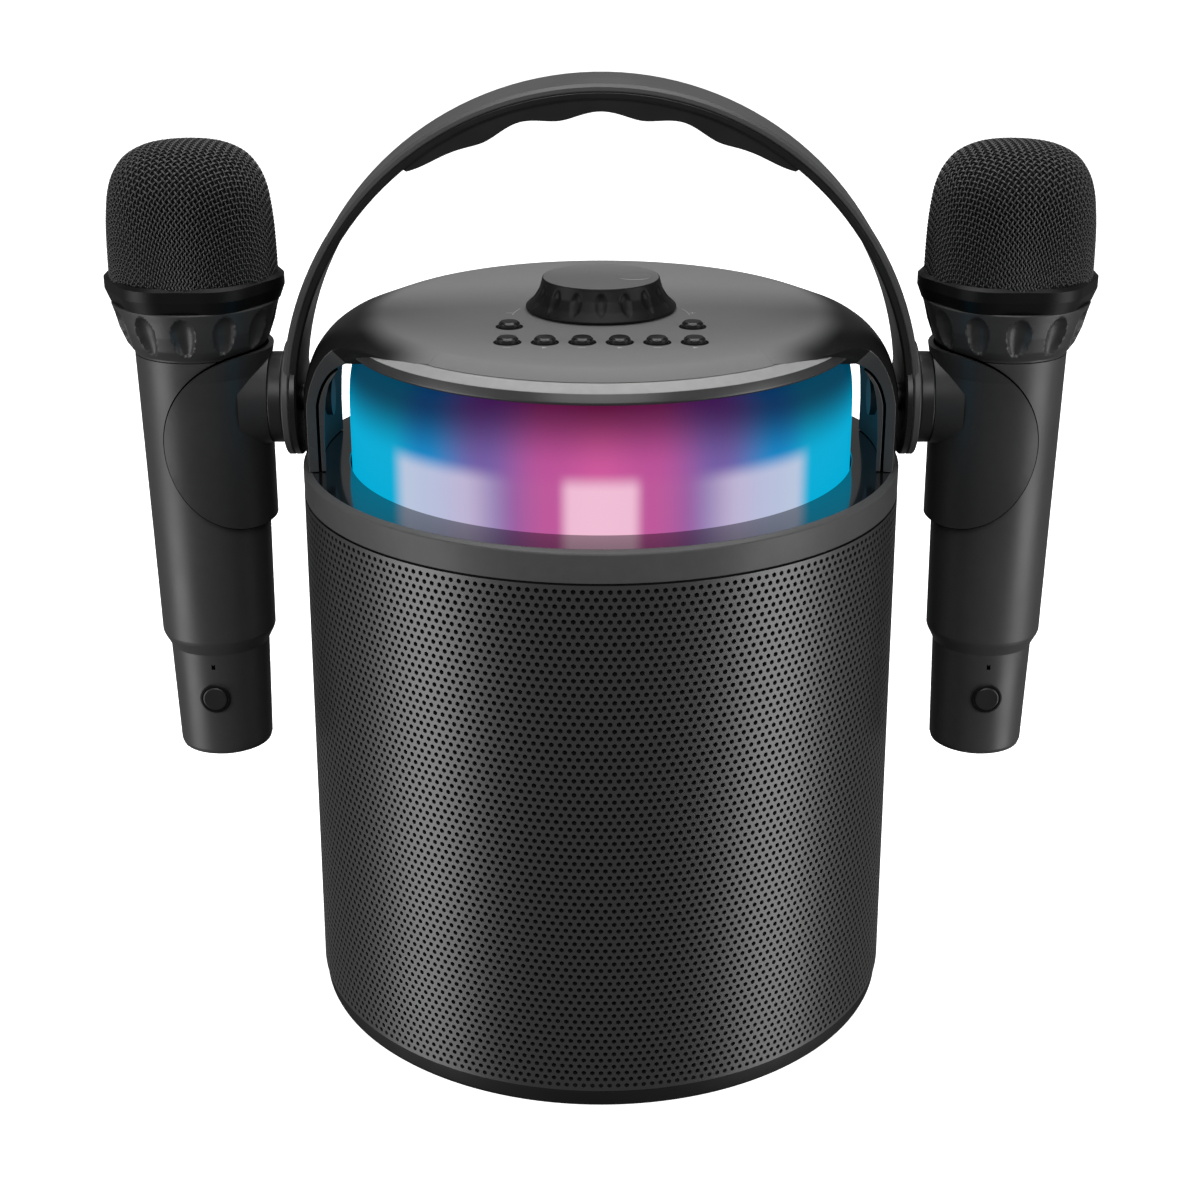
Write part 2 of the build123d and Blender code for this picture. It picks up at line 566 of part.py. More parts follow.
for side, sign in SIDES:
    mic_x = sign * MIC_X
    plane, axis = upright(mic_x), upright_axis(mic_x)

    with BuildPart() as lower_sleeve:
        wall = [(0, MIC_FOOT), (10.4, MIC_FOOT), (11.6, 65.1), (11.95, 66.2), (12.7, TUBE_FOOT),
                (SPIGOT_R, TUBE_FOOT), (SPIGOT_R, 99), (SLEEVE_BORE, 99), (SLEEVE_BORE, 66.5), (0, 66.5)]
        revolve(outline(wall, plane), axis=axis)
        with BuildSketch(Plane.XZ.offset(9)):
            with Locations((mic_x, MIC_BUTTON_Z)):
                Circle(MIC_BUTTON_R + 0.8)
        extrude(amount=3.75)
        with BuildSketch(Plane.XZ.offset(5)):
            with Locations((mic_x, MIC_BUTTON_Z)):
                Circle(MIC_BUTTON_R + BUTTON_GAP)
        extrude(amount=9, mode=Mode.SUBTRACT)
        revolve(outline([(0, 66.5), (SLEEVE_BORE, 66.5), (SLEEVE_BORE, 99), (0, 99)], plane), axis=axis,
                mode=Mode.SUBTRACT)
    save(lower_sleeve, f"{side}_mic_lower_sleeve")

    with BuildPart() as main_tube:
        wall = [(SPIGOT_R, TUBE_FOOT), (12.7, TUBE_FOOT), (14.3, 96.7), (14.55, CHAMFER_TOP),
                (15.75, CUP_FOOT), (TUBE_BORE, CUP_FOOT), (TUBE_BORE, 101), (SPIGOT_R, 99)]
        revolve(outline(wall, plane), axis=axis)
    save(main_tube, f"{side}_mic_main_tube")

    with BuildPart() as fluted_collar:
        cup = [(TUBE_BORE, CUP_FOOT), (15.75, CUP_FOOT), (17.5, 174.5), (19.0, 178.5), (19.9, 182.5),
               (20.6, RING_FOOT), (4, RING_FOOT), (4, 182.4), (16.6, 182.4), (14.8, 175)]
        revolve(outline(cup, plane), axis=axis)
        flute = Cone(0.5, 2.5, 10.5, mode=Mode.PRIVATE)
        for step in range(CUP_FLUTES):
            turn = Pos(mic_x, 0, 0) * Rot(0, 0, step * 360 / CUP_FLUTES - 90)
            add(turn * Pos(19.9, 0, 178.6) * Rot(0, 20, 0) * flute, mode=Mode.SUBTRACT)
    save(fluted_collar, f"{side}_mic_fluted_collar")

    with BuildPart() as anti_roll_ring:
        for z, corner_r, rounding in ((RING_FOOT, 22.6, 11.0), (RING_FLANGE, RING_CORNER_R, RING_ROUNDING)):
            with BuildSketch(Plane.XY.offset(z)) as hexagon:
                with Locations((mic_x, 0)):
                    RegularPolygon(corner_r, 6)
                fillet(hexagon.vertices(), rounding)
        loft()
        with BuildSketch(Plane.XY.offset(RING_FLANGE)) as flange:
            with Locations((mic_x, 0)):
                RegularPolygon(RING_CORNER_R, 6)
            fillet(flange.vertices(), RING_ROUNDING)
        extrude(amount=RING_TOP - RING_FLANGE)
        chamfer(anti_roll_ring.faces().sort_by(Axis.Z)[-1].edges(), 0.8)
        with BuildSketch(Plane.XY.offset(RING_FOOT)):
            with Locations((mic_x, 0)):
                Circle(18.6)
        extrude(amount=RING_TOP - RING_FOOT, mode=Mode.SUBTRACT)
    save(anti_roll_ring, f"{side}_mic_ring")

    with BuildPart() as mic_grille:
        with BuildSketch(plane):
            with BuildLine():
                dome = Spline((20.4, RING_TOP), (20.1, 202.9), (18.9, 211.6), (14.2, 219.6), (0, MIC_TOP),
                              tangents=((0, 1), (-1, 0)))
                lining = Spline((19.3, RING_TOP + 1), (19.0, 202.8), (17.9, 211.1), (13.6, 218.6),
                                (0, MIC_TOP - 1.1), tangents=((0, 1), (-1, 0)))
                Line(dome @ 1, lining @ 1)
                Polyline(dome @ 0, (18.6, RING_TOP), (18.6, 188), (17.6, 188), (17.6, RING_TOP + 1),
                         lining @ 0)
            make_face()
        revolve(axis=axis)
    save(mic_grille, f"{side}_mic_grille")

    with BuildPart() as foam_liner:
        with BuildSketch(plane):
            with BuildLine():
                outside = Spline((17.5, 205), (17.2, 210), (13.0, 217.2), (0, MIC_TOP - 2.2),
                                 tangents=((0, 1), (-1, 0)))
                Polyline(outside @ 1, (0, 206), (13, 206), (13, 190), (17.5, 190), outside @ 0)
            make_face()
        revolve(axis=axis)
    save(foam_liner, f"{side}_mic_foam")

    with BuildPart() as capsule:
        body = [(0, RING_FOOT), (11, RING_FOOT), (11, 190), (12.8, 190), (12.8, 203), (11.5, 204.5), (0, 204.5)]
        revolve(outline(body, plane), axis=axis)
    save(capsule, f"{side}_mic_capsule")

    with BuildPart() as mic_cell:
        with BuildSketch(Plane.XY.offset(66.5)):
            with Locations((mic_x, 0.9)):
                Circle(CELL_R)
        extrude(amount=CELL_H)
    save(mic_cell, f"{side}_mic_cell")

    with BuildPart() as circuit_board:
        with BuildSketch(Plane.XZ.offset(-0.8)):
            with Locations((mic_x, 150)):
                Rectangle(2 * 13.0, 34)
        extrude(amount=1.6)
        with BuildSketch(Plane.XZ.offset(0.8)):
            with Locations((mic_x - 4, 142), (mic_x + 4, 156)):
                Rectangle(8, 9)
        extrude(amount=2.2)
    save(circuit_board, f"{side}_mic_circuit_board")

    with BuildPart() as power_button:
        with BuildSketch(Plane.XZ.offset(9.4)):
            with Locations((mic_x, MIC_BUTTON_Z)):
                Circle(MIC_BUTTON_R)
        extrude(amount=3.9)
        fillet(power_button.faces().sort_by(Axis.Y)[0].edges(), 0.5)
    save(power_button, f"{side}_mic_power_button")
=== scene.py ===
"""Looks of the karaoke speaker with two docked microphones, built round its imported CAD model."""

import math

import bpy
import bmesh
import numpy as np
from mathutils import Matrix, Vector


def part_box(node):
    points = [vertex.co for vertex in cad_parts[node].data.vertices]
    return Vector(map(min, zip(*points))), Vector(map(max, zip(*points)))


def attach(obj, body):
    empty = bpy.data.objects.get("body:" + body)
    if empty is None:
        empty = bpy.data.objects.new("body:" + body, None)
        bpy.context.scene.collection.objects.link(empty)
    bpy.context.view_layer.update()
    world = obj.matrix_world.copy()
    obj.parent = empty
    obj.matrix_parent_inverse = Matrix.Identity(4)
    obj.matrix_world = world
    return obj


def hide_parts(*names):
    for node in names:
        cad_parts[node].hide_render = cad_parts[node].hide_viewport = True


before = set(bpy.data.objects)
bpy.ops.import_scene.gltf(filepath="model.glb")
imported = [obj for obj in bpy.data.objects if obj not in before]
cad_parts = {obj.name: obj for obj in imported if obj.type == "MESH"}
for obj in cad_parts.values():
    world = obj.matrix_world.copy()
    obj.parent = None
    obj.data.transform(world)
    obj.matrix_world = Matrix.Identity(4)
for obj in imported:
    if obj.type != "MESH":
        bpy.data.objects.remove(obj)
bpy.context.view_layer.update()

MM = 0.001
SIDES = (("left", -1), ("right", 1))


# ---- sizes taken from the frame, in millimetres ---------------------------

def box_mm(node):
    """The node's lowest and highest corners, in millimetres."""
    low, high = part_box(node)
    return Vector(low) / MM, Vector(high) / MM


sleeve_low, sleeve_high = box_mm("speaker_grille")
shoulder_high = box_mm("shoulder_ring")[1]
drum_high = box_mm("light_diffuser")[1]
cover_high = box_mm("top_cover")[1]
trim_high = box_mm("trim_ring")[1]
panel_low, panel_high = box_mm("port_panel")
tube_low, tube_high = box_mm("right_mic_main_tube")

SLEEVE_R_FOOT = sleeve_high.x
SLEEVE_R_TOP = shoulder_high.x
DRUM_R = drum_high.x
COVER_R = 59.6
COVER_TOP = cover_high.z
SEAM_Z = trim_high.z
ARM_R = cover_high.x
ARM_HALF = 19.0
MIC_X = (tube_low.x + tube_high.x) / 2
SHOULDER_TOP = shoulder_high.z


# ---- materials ------------------------------------------------------------

def new_material(name):
    """A new material, its node tree and its shader."""
    mat = bpy.data.materials.new(name)
    mat.use_nodes = True
    return mat, mat.node_tree, mat.node_tree.nodes["Principled BSDF"]


def link(tree, a, out, b, into):
    """Joins one node's output to another node's input."""
    tree.links.new(a.outputs[out], b.inputs[into])


def noise(tree, scale, detail=2.0, stretch=(1, 1, 1)):
    """Noise texture on object coordinates, scale in cells per millimetre."""
    coords = tree.nodes.new("ShaderNodeTexCoord")
    mapping = tree.nodes.new("ShaderNodeMapping")
    mapping.inputs["Scale"].default_value = stretch
    tex = tree.nodes.new("ShaderNodeTexNoise")
    tex.inputs["Scale"].default_value = scale / MM
    tex.inputs["Detail"].default_value = detail
    link(tree, coords, "Object", mapping, "Vector")
    link(tree, mapping, "Vector", tex, "Vector")
    return tex


def spread(tree, tex, low, high, start=0.35, end=0.65):
    """Maps a texture's factor to the range from low to high."""
    ramp = tree.nodes.new("ShaderNodeMapRange")
    ramp.inputs["From Min"].default_value = start
    ramp.inputs["From Max"].default_value = end
    ramp.inputs["To Min"].default_value = low
    ramp.inputs["To Max"].default_value = high
    link(tree, tex, "Fac", ramp, "Value")
    return ramp


def surface(name, colour, rough, grain=1.2, bump=0.05, uneven=0.05, tint=0.12, metallic=0.0, coat=0.0,
            coat_rough=0.1, specular=0.5):
    """Moulded or painted surface: fine grain, uneven gloss and slight shade variation."""
    mat, tree, bsdf = new_material(name)
    bsdf.inputs["Metallic"].default_value = metallic
    bsdf.inputs["Coat Weight"].default_value = coat
    bsdf.inputs["Coat Roughness"].default_value = coat_rough
    bsdf.inputs["Specular IOR Level"].default_value = specular
    patches = noise(tree, 0.05, 3.0)
    gloss = spread(tree, patches, max(0.0, rough - uneven), rough + uneven)
    link(tree, gloss, "Result", bsdf, "Roughness")
    shade = tree.nodes.new("ShaderNodeMixRGB")
    shade.inputs["Color1"].default_value = (*[c * (1 - tint) for c in colour], 1)
    shade.inputs["Color2"].default_value = (*[min(1, c * (1 + tint)) for c in colour], 1)
    specks = noise(tree, 0.4, 4.0)
    link(tree, specks, "Fac", shade, "Fac")
    link(tree, shade, "Color", bsdf, "Base Color")
    if bump:
        fine = noise(tree, grain, 3.0)
        bumps = tree.nodes.new("ShaderNodeBump")
        bumps.inputs["Strength"].default_value = bump
        bumps.inputs["Distance"].default_value = 0.1 * MM
        link(tree, fine, "Fac", bumps, "Height")
        link(tree, bumps, "Normal", bsdf, "Normal")
    return mat


def grey(level):
    """Linear grey from a display level of 0 to 255."""
    c = level / 255
    c = c / 12.92 if c <= 0.04045 else ((c + 0.055) / 1.055) ** 2.4
    return (c, c, c)


def linear(r, g, b):
    """Linear colour from three display levels of 0 to 255."""
    return tuple(grey(v)[0] for v in (r, g, b))


def even(name, colour, rough, metallic=0.0):
    """Surface of one even shade, for pieces made of very many small faces."""
    mat, _, bsdf = new_material(name)
    bsdf.inputs["Base Color"].default_value = (*colour, 1)
    bsdf.inputs["Roughness"].default_value = rough
    bsdf.inputs["Metallic"].default_value = metallic
    return mat


SHADE_R = (53.0, 61.0)         # where painted shade darkens the cover towards its arms
SHADE_DEGREES = (52, 33)      # and from which direction, from the arm's middle


def painted_shade_sideways(name):
    """Matt cover plastic with painted shade: darker and glossier towards the two arms."""
    mat = surface(name, grey(112), 0.62, grain=3.0, bump=0.08, uneven=0.03, tint=0.03, specular=0.12)
    tree = mat.node_tree
    bsdf = tree.nodes["Principled BSDF"]
    coords = tree.nodes.new("ShaderNodeTexCoord")
    split = tree.nodes.new("ShaderNodeSeparateXYZ")
    link(tree, coords, "Object", split, "Vector")
    flat = tree.nodes.new("ShaderNodeCombineXYZ")
    link(tree, split, "X", flat, "X")
    link(tree, split, "Y", flat, "Y")
    reach = tree.nodes.new("ShaderNodeVectorMath")
    reach.operation = "LENGTH"
    link(tree, flat, "Vector", reach, 0)
    sizes = []
    for axis in ("X", "Y"):
        size = tree.nodes.new("ShaderNodeMath")
        size.operation = "ABSOLUTE"
        link(tree, split, axis, size, 0)
        sizes.append(size)
    turn = tree.nodes.new("ShaderNodeMath")
    turn.operation = "ARCTAN2"
    link(tree, sizes[1], "Value", turn, 0)
    link(tree, sizes[0], "Value", turn, 1)
    by_reach = tree.nodes.new("ShaderNodeMapRange")
    by_reach.interpolation_type = "SMOOTHSTEP"
    by_reach.inputs["From Min"].default_value = SHADE_R[0] * MM
    by_reach.inputs["From Max"].default_value = SHADE_R[1] * MM
    link(tree, reach, "Value", by_reach, "Value")
    by_turn = tree.nodes.new("ShaderNodeMapRange")
    by_turn.interpolation_type = "SMOOTHSTEP"
    by_turn.inputs["From Min"].default_value = math.radians(SHADE_DEGREES[0])
    by_turn.inputs["From Max"].default_value = math.radians(SHADE_DEGREES[1])
    link(tree, turn, "Value", by_turn, "Value")
    # painted shade: how strongly the cover is darkened near each arm
    shade_mask = tree.nodes.new("ShaderNodeMath")
    shade_mask.operation = "MULTIPLY"
    link(tree, by_reach, "Result", shade_mask, 0)
    link(tree, by_turn, "Result", shade_mask, 1)
    colour = bsdf.inputs["Base Color"].links[0].from_socket
    rough = bsdf.inputs["Roughness"].links[0].from_socket
    shade = tree.nodes.new("ShaderNodeMixRGB")
    link(tree, shade_mask, "Value", shade, "Fac")
    tree.links.new(colour, shade.inputs["Color1"])
    shade.inputs["Color2"].default_value = (*grey(24), 1)
    link(tree, shade, "Color", bsdf, "Base Color")
    gloss = tree.nodes.new("ShaderNodeMapRange")
    link(tree, shade_mask, "Value", gloss, "Value")
    tree.links.new(rough, gloss.inputs["To Min"])
    gloss.inputs["To Max"].default_value = 0.3
    link(tree, gloss, "Result", bsdf, "Roughness")
    return mat


sleeve_paint = even("sleeve_paint", grey(88), 0.4, 0.85)
mesh_wire = even("mesh_wire", grey(62), 0.36, 0.6)
black_rubber = surface("black_rubber", grey(10), 0.6, grain=2.0, bump=0.12, specular=0.25)
acoustic_cloth = surface("acoustic_cloth", grey(8), 0.9, grain=3.0, bump=0.3)
shoulder_satin = surface("shoulder_satin", grey(70), 0.42, bump=0.02, specular=0.3)
smoked_gloss = surface("smoked_gloss", grey(18), 0.12, bump=0.0, uneven=0.03, coat=0.6, coat_rough=0.04)
# cover plastic with painted shade towards the arms
cover_painted_shade = painted_shade_sideways("cover_painted_shade")
cover_matte = surface("cover_matte", grey(112), 0.62, grain=3.0, bump=0.08, uneven=0.03, tint=0.03,
                      specular=0.12)
trim_satin = surface("trim_satin", grey(138), 0.42, bump=0.0, specular=0.3)
# dark copy of the trim plastic: painted shade on the lip's undercut
trim_painted_shade = surface("trim_painted_shade", grey(46), 0.35, bump=0.0)
black_gloss = surface("black_gloss", grey(12), 0.2, bump=0.0, uneven=0.04, coat=0.3, coat_rough=0.08)
black_satin = surface("black_satin", grey(26), 0.38, bump=0.03)
button_cap = surface("button_cap", grey(26), 0.25, bump=0.0, uneven=0.03)
# black for the painted shade in the gap round each button cap
button_gap_shade = surface("button_gap_shade", grey(2), 0.7, bump=0.0, specular=0.1)
# pale ink for the printed marks, and for the knob's painted highlight crescent
pale_ink_and_highlight = surface("pale_ink_and_highlight", grey(168), 0.6, bump=0.0)
clip_plastic = surface("clip_plastic", grey(44), 0.42, grain=3.0, bump=0.05)
# black for painted shadow: the clips' shadow lines and the arm grooves; also the lamp slot's own dark window
shadow_and_slot_black = surface("shadow_and_slot_black", grey(0), 0.8, bump=0.0, specular=0.0)
# lighter gloss grey: painted light on the front- and rear-facing rims of the arms and liners
rim_lit_gloss = surface("rim_lit_gloss", grey(62), 0.3, bump=0.0, coat=0.25, coat_rough=0.12)
# darker copy of the liner plastic: painted shade on its faces towards the drum
liner_shaded_side = surface("liner_shaded_side", grey(36), 0.45, bump=0.02, specular=0.3)
strap_satin = surface("strap_satin", grey(64), 0.42, bump=0.04, tint=0.05)
strap_edge = surface("strap_edge", grey(18), 0.3, bump=0.0)
soft_grip = surface("soft_grip", grey(14), 0.4, grain=2.0, bump=0.06)
knob_black = surface("knob_black", grey(7), 0.5, bump=0.03, specular=0.25)
mic_paint = surface("mic_paint", grey(54), 0.42, grain=3.0, bump=0.05, uneven=0.04)
mic_plastic = surface("mic_plastic", grey(48), 0.4, grain=2.5, bump=0.05)
ring_gloss = surface("ring_gloss", grey(7), 0.4, bump=0.0, specular=0.22)
foam_black = surface("foam_black", grey(6), 0.95, grain=2.5, bump=0.6)
socket_steel = surface("socket_steel", grey(190), 0.3, metallic=1.0, bump=0.0)
pin_steel = surface("pin_steel", grey(60), 0.35, metallic=1.0, bump=0.0)
pin_dark = surface("pin_dark", grey(40), 0.45, bump=0.0)
board_green = surface("board_green", linear(20, 90, 50), 0.4, bump=0.0)
cell_blue = surface("cell_blue", linear(30, 80, 150), 0.35, bump=0.0)
paper_black = surface("paper_black", grey(24), 0.8, grain=1.5, bump=0.3)
iron_dull = surface("iron_dull", grey(70), 0.5, metallic=0.8)
reflector_white = surface("reflector_white", grey(235), 0.5)


def light_drum_material():
    """Frosted drum lit from inside: colour by direction round the drum, brightness by height."""
    mat, tree, bsdf = new_material("light_drum")
    nodes = tree.nodes
    bsdf.inputs["Base Color"].default_value = (0.004, 0.004, 0.005, 1)
    bsdf.inputs["Roughness"].default_value = 0.6
    bsdf.inputs["Specular IOR Level"].default_value = 0.02
    coords = nodes.new("ShaderNodeTexCoord")
    split = nodes.new("ShaderNodeSeparateXYZ")
    link(tree, coords, "Object", split, "Vector")
    minus_y = nodes.new("ShaderNodeMath")
    minus_y.operation = "MULTIPLY"
    minus_y.inputs[1].default_value = -1.0
    link(tree, split, "Y", minus_y, 0)
    angle = nodes.new("ShaderNodeMath")
    angle.operation = "ARCTAN2"
    link(tree, split, "X", angle, 0)
    link(tree, minus_y, "Value", angle, 1)
    away = nodes.new("ShaderNodeMath")
    away.operation = "ABSOLUTE"
    link(tree, angle, "Value", away, 0)
    turn = nodes.new("ShaderNodeMapRange")
    turn.inputs["From Max"].default_value = math.pi
    link(tree, away, "Value", turn, "Value")
    height = nodes.new("ShaderNodeMapRange")
    height.inputs["From Min"].default_value = (SHOULDER_TOP - 0.3) * MM
    height.inputs["From Max"].default_value = drum_high.z * MM
    link(tree, split, "Z", height, "Value")

    def ramp(stops, factor):
        node = nodes.new("ShaderNodeValToRGB")
        node.color_ramp.interpolation = "EASE"
        marks = node.color_ramp.elements
        while len(marks) < len(stops):
            marks.new(1.0)
        for mark, (place, colour) in zip(marks, stops):
            mark.position = place
            mark.color = (*colour, 1)
        link(tree, factor, "Result", node, "Fac")
        return node

    # The rear has nearly the front's colours, so that the drum is lit all round.
    low = ramp([(0.0, linear(204, 88, 155)), (10 / 180, linear(188, 82, 152)),
                (25 / 180, linear(116, 94, 164)), (40 / 180, linear(20, 140, 205)),
                (52 / 180, linear(0, 172, 214)), (118 / 180, linear(0, 168, 210)),
                (140 / 180, linear(60, 120, 200)), (180 / 180, linear(200, 100, 160))], turn)
    high = ramp([(0.0, linear(92, 18, 60)), (10 / 180, linear(92, 22, 66)),
                 (25 / 180, linear(62, 26, 82)), (40 / 180, linear(4, 52, 96)),
                 (52 / 180, linear(0, 66, 92)), (118 / 180, linear(0, 66, 92)),
                 (140 / 180, linear(20, 40, 90)), (180 / 180, linear(92, 18, 60))], turn)
    # The dark upper part reaches lower down at the sides than at the front.
    sink = nodes.new("ShaderNodeMapRange")
    sink.interpolation_type = "SMOOTHSTEP"
    sink.inputs["From Min"].default_value = math.radians(12)
    sink.inputs["From Max"].default_value = math.radians(45)
    sink.inputs["To Max"].default_value = 0.13
    link(tree, away, "Value", sink, "Value")
    level = nodes.new("ShaderNodeMath")
    level.operation = "ADD"
    link(tree, height, "Result", level, 0)
    link(tree, sink, "Result", level, 1)
    rise = nodes.new("ShaderNodeMapRange")
    rise.interpolation_type = "SMOOTHSTEP"
    rise.inputs["From Min"].default_value = 0.48
    rise.inputs["From Max"].default_value = 1.0
    link(tree, level, "Value", rise, "Value")
    blend = nodes.new("ShaderNodeMixRGB")
    link(tree, rise, "Result", blend, "Fac")
    link(tree, low, "Color", blend, "Color1")
    link(tree, high, "Color", blend, "Color2")

    # Pale patches near the foot, where the lamps shine through.
    patch = ramp([(0.0, (0.92,) * 3), (6.0 / 180, (0.9,) * 3), (9.5 / 180, (0.03,) * 3),
                  (17 / 180, (0.03,) * 3), (31 / 180, (0.72,) * 3), (46 / 180, (0.78,) * 3),
                  (52 / 180, (0.0,) * 3), (180 / 180, (0.0,) * 3)], turn)
    patch_colour = ramp([(0.0, linear(243, 196, 218)), (12 / 180, linear(243, 196, 218)),
                         (24 / 180, linear(214, 200, 224)), (45 / 180, linear(206, 206, 224)),
                         (60 / 180, linear(190, 214, 230))], turn)
    foot = nodes.new("ShaderNodeMapRange")
    foot.interpolation_type = "SMOOTHSTEP"
    foot.inputs["From Min"].default_value = 0.33
    foot.inputs["From Max"].default_value = 0.50
    foot.inputs["To Min"].default_value = 1.0
    foot.inputs["To Max"].default_value = 0.0
    link(tree, height, "Result", foot, "Value")
    glow = nodes.new("ShaderNodeMath")
    glow.operation = "MULTIPLY"
    link(tree, patch, "Color", glow, 0)
    link(tree, foot, "Result", glow, 1)
    lit = nodes.new("ShaderNodeMixRGB")
    link(tree, glow, "Value", lit, "Fac")
    link(tree, blend, "Color", lit, "Color1")
    link(tree, patch_colour, "Color", lit, "Color2")
    link(tree, lit, "Color", bsdf, "Emission Color")
    bsdf.inputs["Emission Strength"].default_value = 1.0
    return mat


# ---- mesh making ------------------------------------------------------------

def make_piece(name, verts, faces, materials, body, replaces=(), face_material=None, sharp=38):
    """Mesh object from points in millimetres, riding on a body."""
    mesh = bpy.data.meshes.new(name)
    mesh.from_pydata([tuple(float(c) * MM for c in v) for v in verts], [], faces)
    for mat in materials:
        mesh.materials.append(mat)
    if face_material is not None:
        mesh.polygons.foreach_set("material_index", face_material)
    mesh.validate()
    mesh.update()
    piece = bpy.data.objects.new(name, mesh)
    bpy.context.collection.objects.link(piece)
    finish_mesh(piece, sharp)
    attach(piece, body)
    if replaces:
        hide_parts(*replaces)
    return piece


def finish_mesh(piece, sharp):
    """Merges coincident points, turns faces outwards and shades smooth up to the sharp angle."""
    work = bmesh.new()
    work.from_mesh(piece.data)
    bmesh.ops.remove_doubles(work, verts=work.verts, dist=0.002 * MM)
    bmesh.ops.recalc_face_normals(work, faces=work.faces)
    work.to_mesh(piece.data)
    work.free()
    piece.data.shade_smooth()
    piece.data.set_sharp_from_angle(angle=math.radians(sharp))


def rounded(corners, closed=True, steps=5):
    """Line through (r, z, fillet) corners with each corner rounded off by its fillet radius."""
    count = len(corners)
    line = []
    for i, corner in enumerate(corners):
        here = Vector(corner[:2])
        fillet = corner[2] if len(corner) > 2 else 0
        if not fillet or (not closed and i in (0, count - 1)):
            line.append(tuple(here))
            continue
        back = (Vector(corners[i - 1][:2]) - here)
        ahead = (Vector(corners[(i + 1) % count][:2]) - here)
        half = back.angle(ahead) / 2
        reach = min(fillet / math.tan(half), back.length * 0.49, ahead.length * 0.49)
        start, end = here + back.normalized() * reach, here + ahead.normalized() * reach
        for k in range(steps + 1):
            t = k / steps
            line.append(tuple(start * (1 - t) ** 2 + here * 2 * t * (1 - t) + end * t ** 2))
    return line


def lathe_mesh(line, x=0.0, steps=128, closed=True, shape=None):
    """Points and faces of a line turned about the vertical axis at x. shape(r, angle, z) may move a point."""
    verts, faces = [], []
    for k in range(steps):
        a = 2 * math.pi * k / steps
        for r, z in line:
            rr = shape(r, a, z) if shape else r
            verts.append((x + rr * math.cos(a), rr * math.sin(a), z))
    n = len(line)
    for k in range(steps):
        here, there = k * n, (k + 1) % steps * n
        for i in range(n if closed else n - 1):
            j = (i + 1) % n
            faces.append((here + i, there + i, there + j, here + j))
    return verts, faces


def lathe(name, corners, material, body, x=0.0, steps=128, closed=True, replaces=(), shape=None,
          fillet_steps=5, sharp=38):
    """Piece made by turning a line with rounded corners about the vertical axis at x."""
    line = rounded(corners, closed, fillet_steps)
    verts, faces = lathe_mesh(line, x, steps, closed, shape)
    return make_piece(name, verts, faces, [material], body, replaces, sharp=sharp)


def give_cad(node, material, bevel=0.0):
    """A CAD node keeps its shape and gets a better material, and its sharp edges are eased."""
    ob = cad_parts[node]
    for slot in ob.material_slots:
        slot.material = material
    if bevel:
        ease = ob.modifiers.new("ease", "BEVEL")
        ease.width = bevel * MM
        ease.segments = 3
        ease.limit_method = "ANGLE"
        ease.angle_limit = math.radians(40)
        ease.harden_normals = False


# ---- speaker: foot, perforated sleeve, shoulder ------------------------------

HOLES_ROUND = 228
HOLE_ROWS = 73
HOLE_R = 0.64
SLEEVE_EDGE = 0.9            # plain metal above and below the holes
SHEET = 0.7


def sleeve_r(z):
    """Outer radius of the tapered sleeve at a height."""
    part = (z - sleeve_low.z) / (sleeve_high.z - sleeve_low.z)
    return SLEEVE_R_FOOT + (SLEEVE_R_TOP - SLEEVE_R_FOOT) * part


def perforated_sleeve(name, columns):
    """One half of the perforated sheet: hexagonal cells round real holes, with the sheet's thickness."""
    pitch = 2 * math.pi / HOLES_ROUND
    bottom, top = sleeve_low.z, sleeve_high.z
    row = (top - bottom - 2 * SLEEVE_EDGE - 2 * HOLE_R) / (HOLE_ROWS - 1)
    corner = [(0, 2 / 3), (-0.5, 1 / 3), (-0.5, -1 / 3), (0, -2 / 3), (0.5, -1 / 3), (0.5, 1 / 3)]
    verts, faces = [], []
    for j in range(HOLE_ROWS):
        z = bottom + SLEEVE_EDGE + HOLE_R + j * row
        for i in columns:
            a = (i + 0.5 * (j % 2)) * pitch
            x, y = sleeve_r(z) * math.sin(a), -sleeve_r(z) * math.cos(a)
            within_width = panel_low.x - 0.5 < x < panel_high.x + 0.5
            within_height = panel_low.z - 0.6 < z < panel_high.z + 0.6
            if y > 0 and within_width and within_height:
                continue
            start = len(verts)
            for u, v in corner:
                cz = z + v * row
                if j == 0 and v < 0:
                    cz = bottom
                if j == HOLE_ROWS - 1 and v > 0:
                    cz = top
                verts.append((a + u * pitch, cz, 0))
            for depth in (0, SHEET):
                for k in range(6):
                    t = math.pi / 2 + k * math.pi / 3
                    verts.append((a + HOLE_R * math.cos(t) / sleeve_r(z), z + HOLE_R * math.sin(t), depth))
            for k in range(6):
                n = (k + 1) % 6
                faces.append((start + k, start + n, start + 6 + n, start + 6 + k))
                faces.append((start + 6 + k, start + 6 + n, start + 12 + n, start + 12 + k))
    around = np.array(verts)
    r = sleeve_r(around[:, 1]) - around[:, 2]
    points = np.stack([r * np.sin(around[:, 0]), -r * np.cos(around[:, 0]), around[:, 1]], 1)
    mesh = bpy.data.meshes.new(name)
    mesh.from_pydata((points * MM).tolist(), [], faces)
    mesh.materials.append(sleeve_paint)
    work = bmesh.new()
    work.from_mesh(mesh)
    bmesh.ops.remove_doubles(work, verts=work.verts, dist=0.01 * MM)
    bmesh.ops.recalc_face_normals(work, faces=work.faces)
    work.to_mesh(mesh)
    work.free()
    mesh.shade_smooth()
    mesh.set_sharp_from_angle(angle=math.radians(40))
    piece = bpy.data.objects.new(name, mesh)
    bpy.context.collection.objects.link(piece)
    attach(piece, "speaker")
    return piece


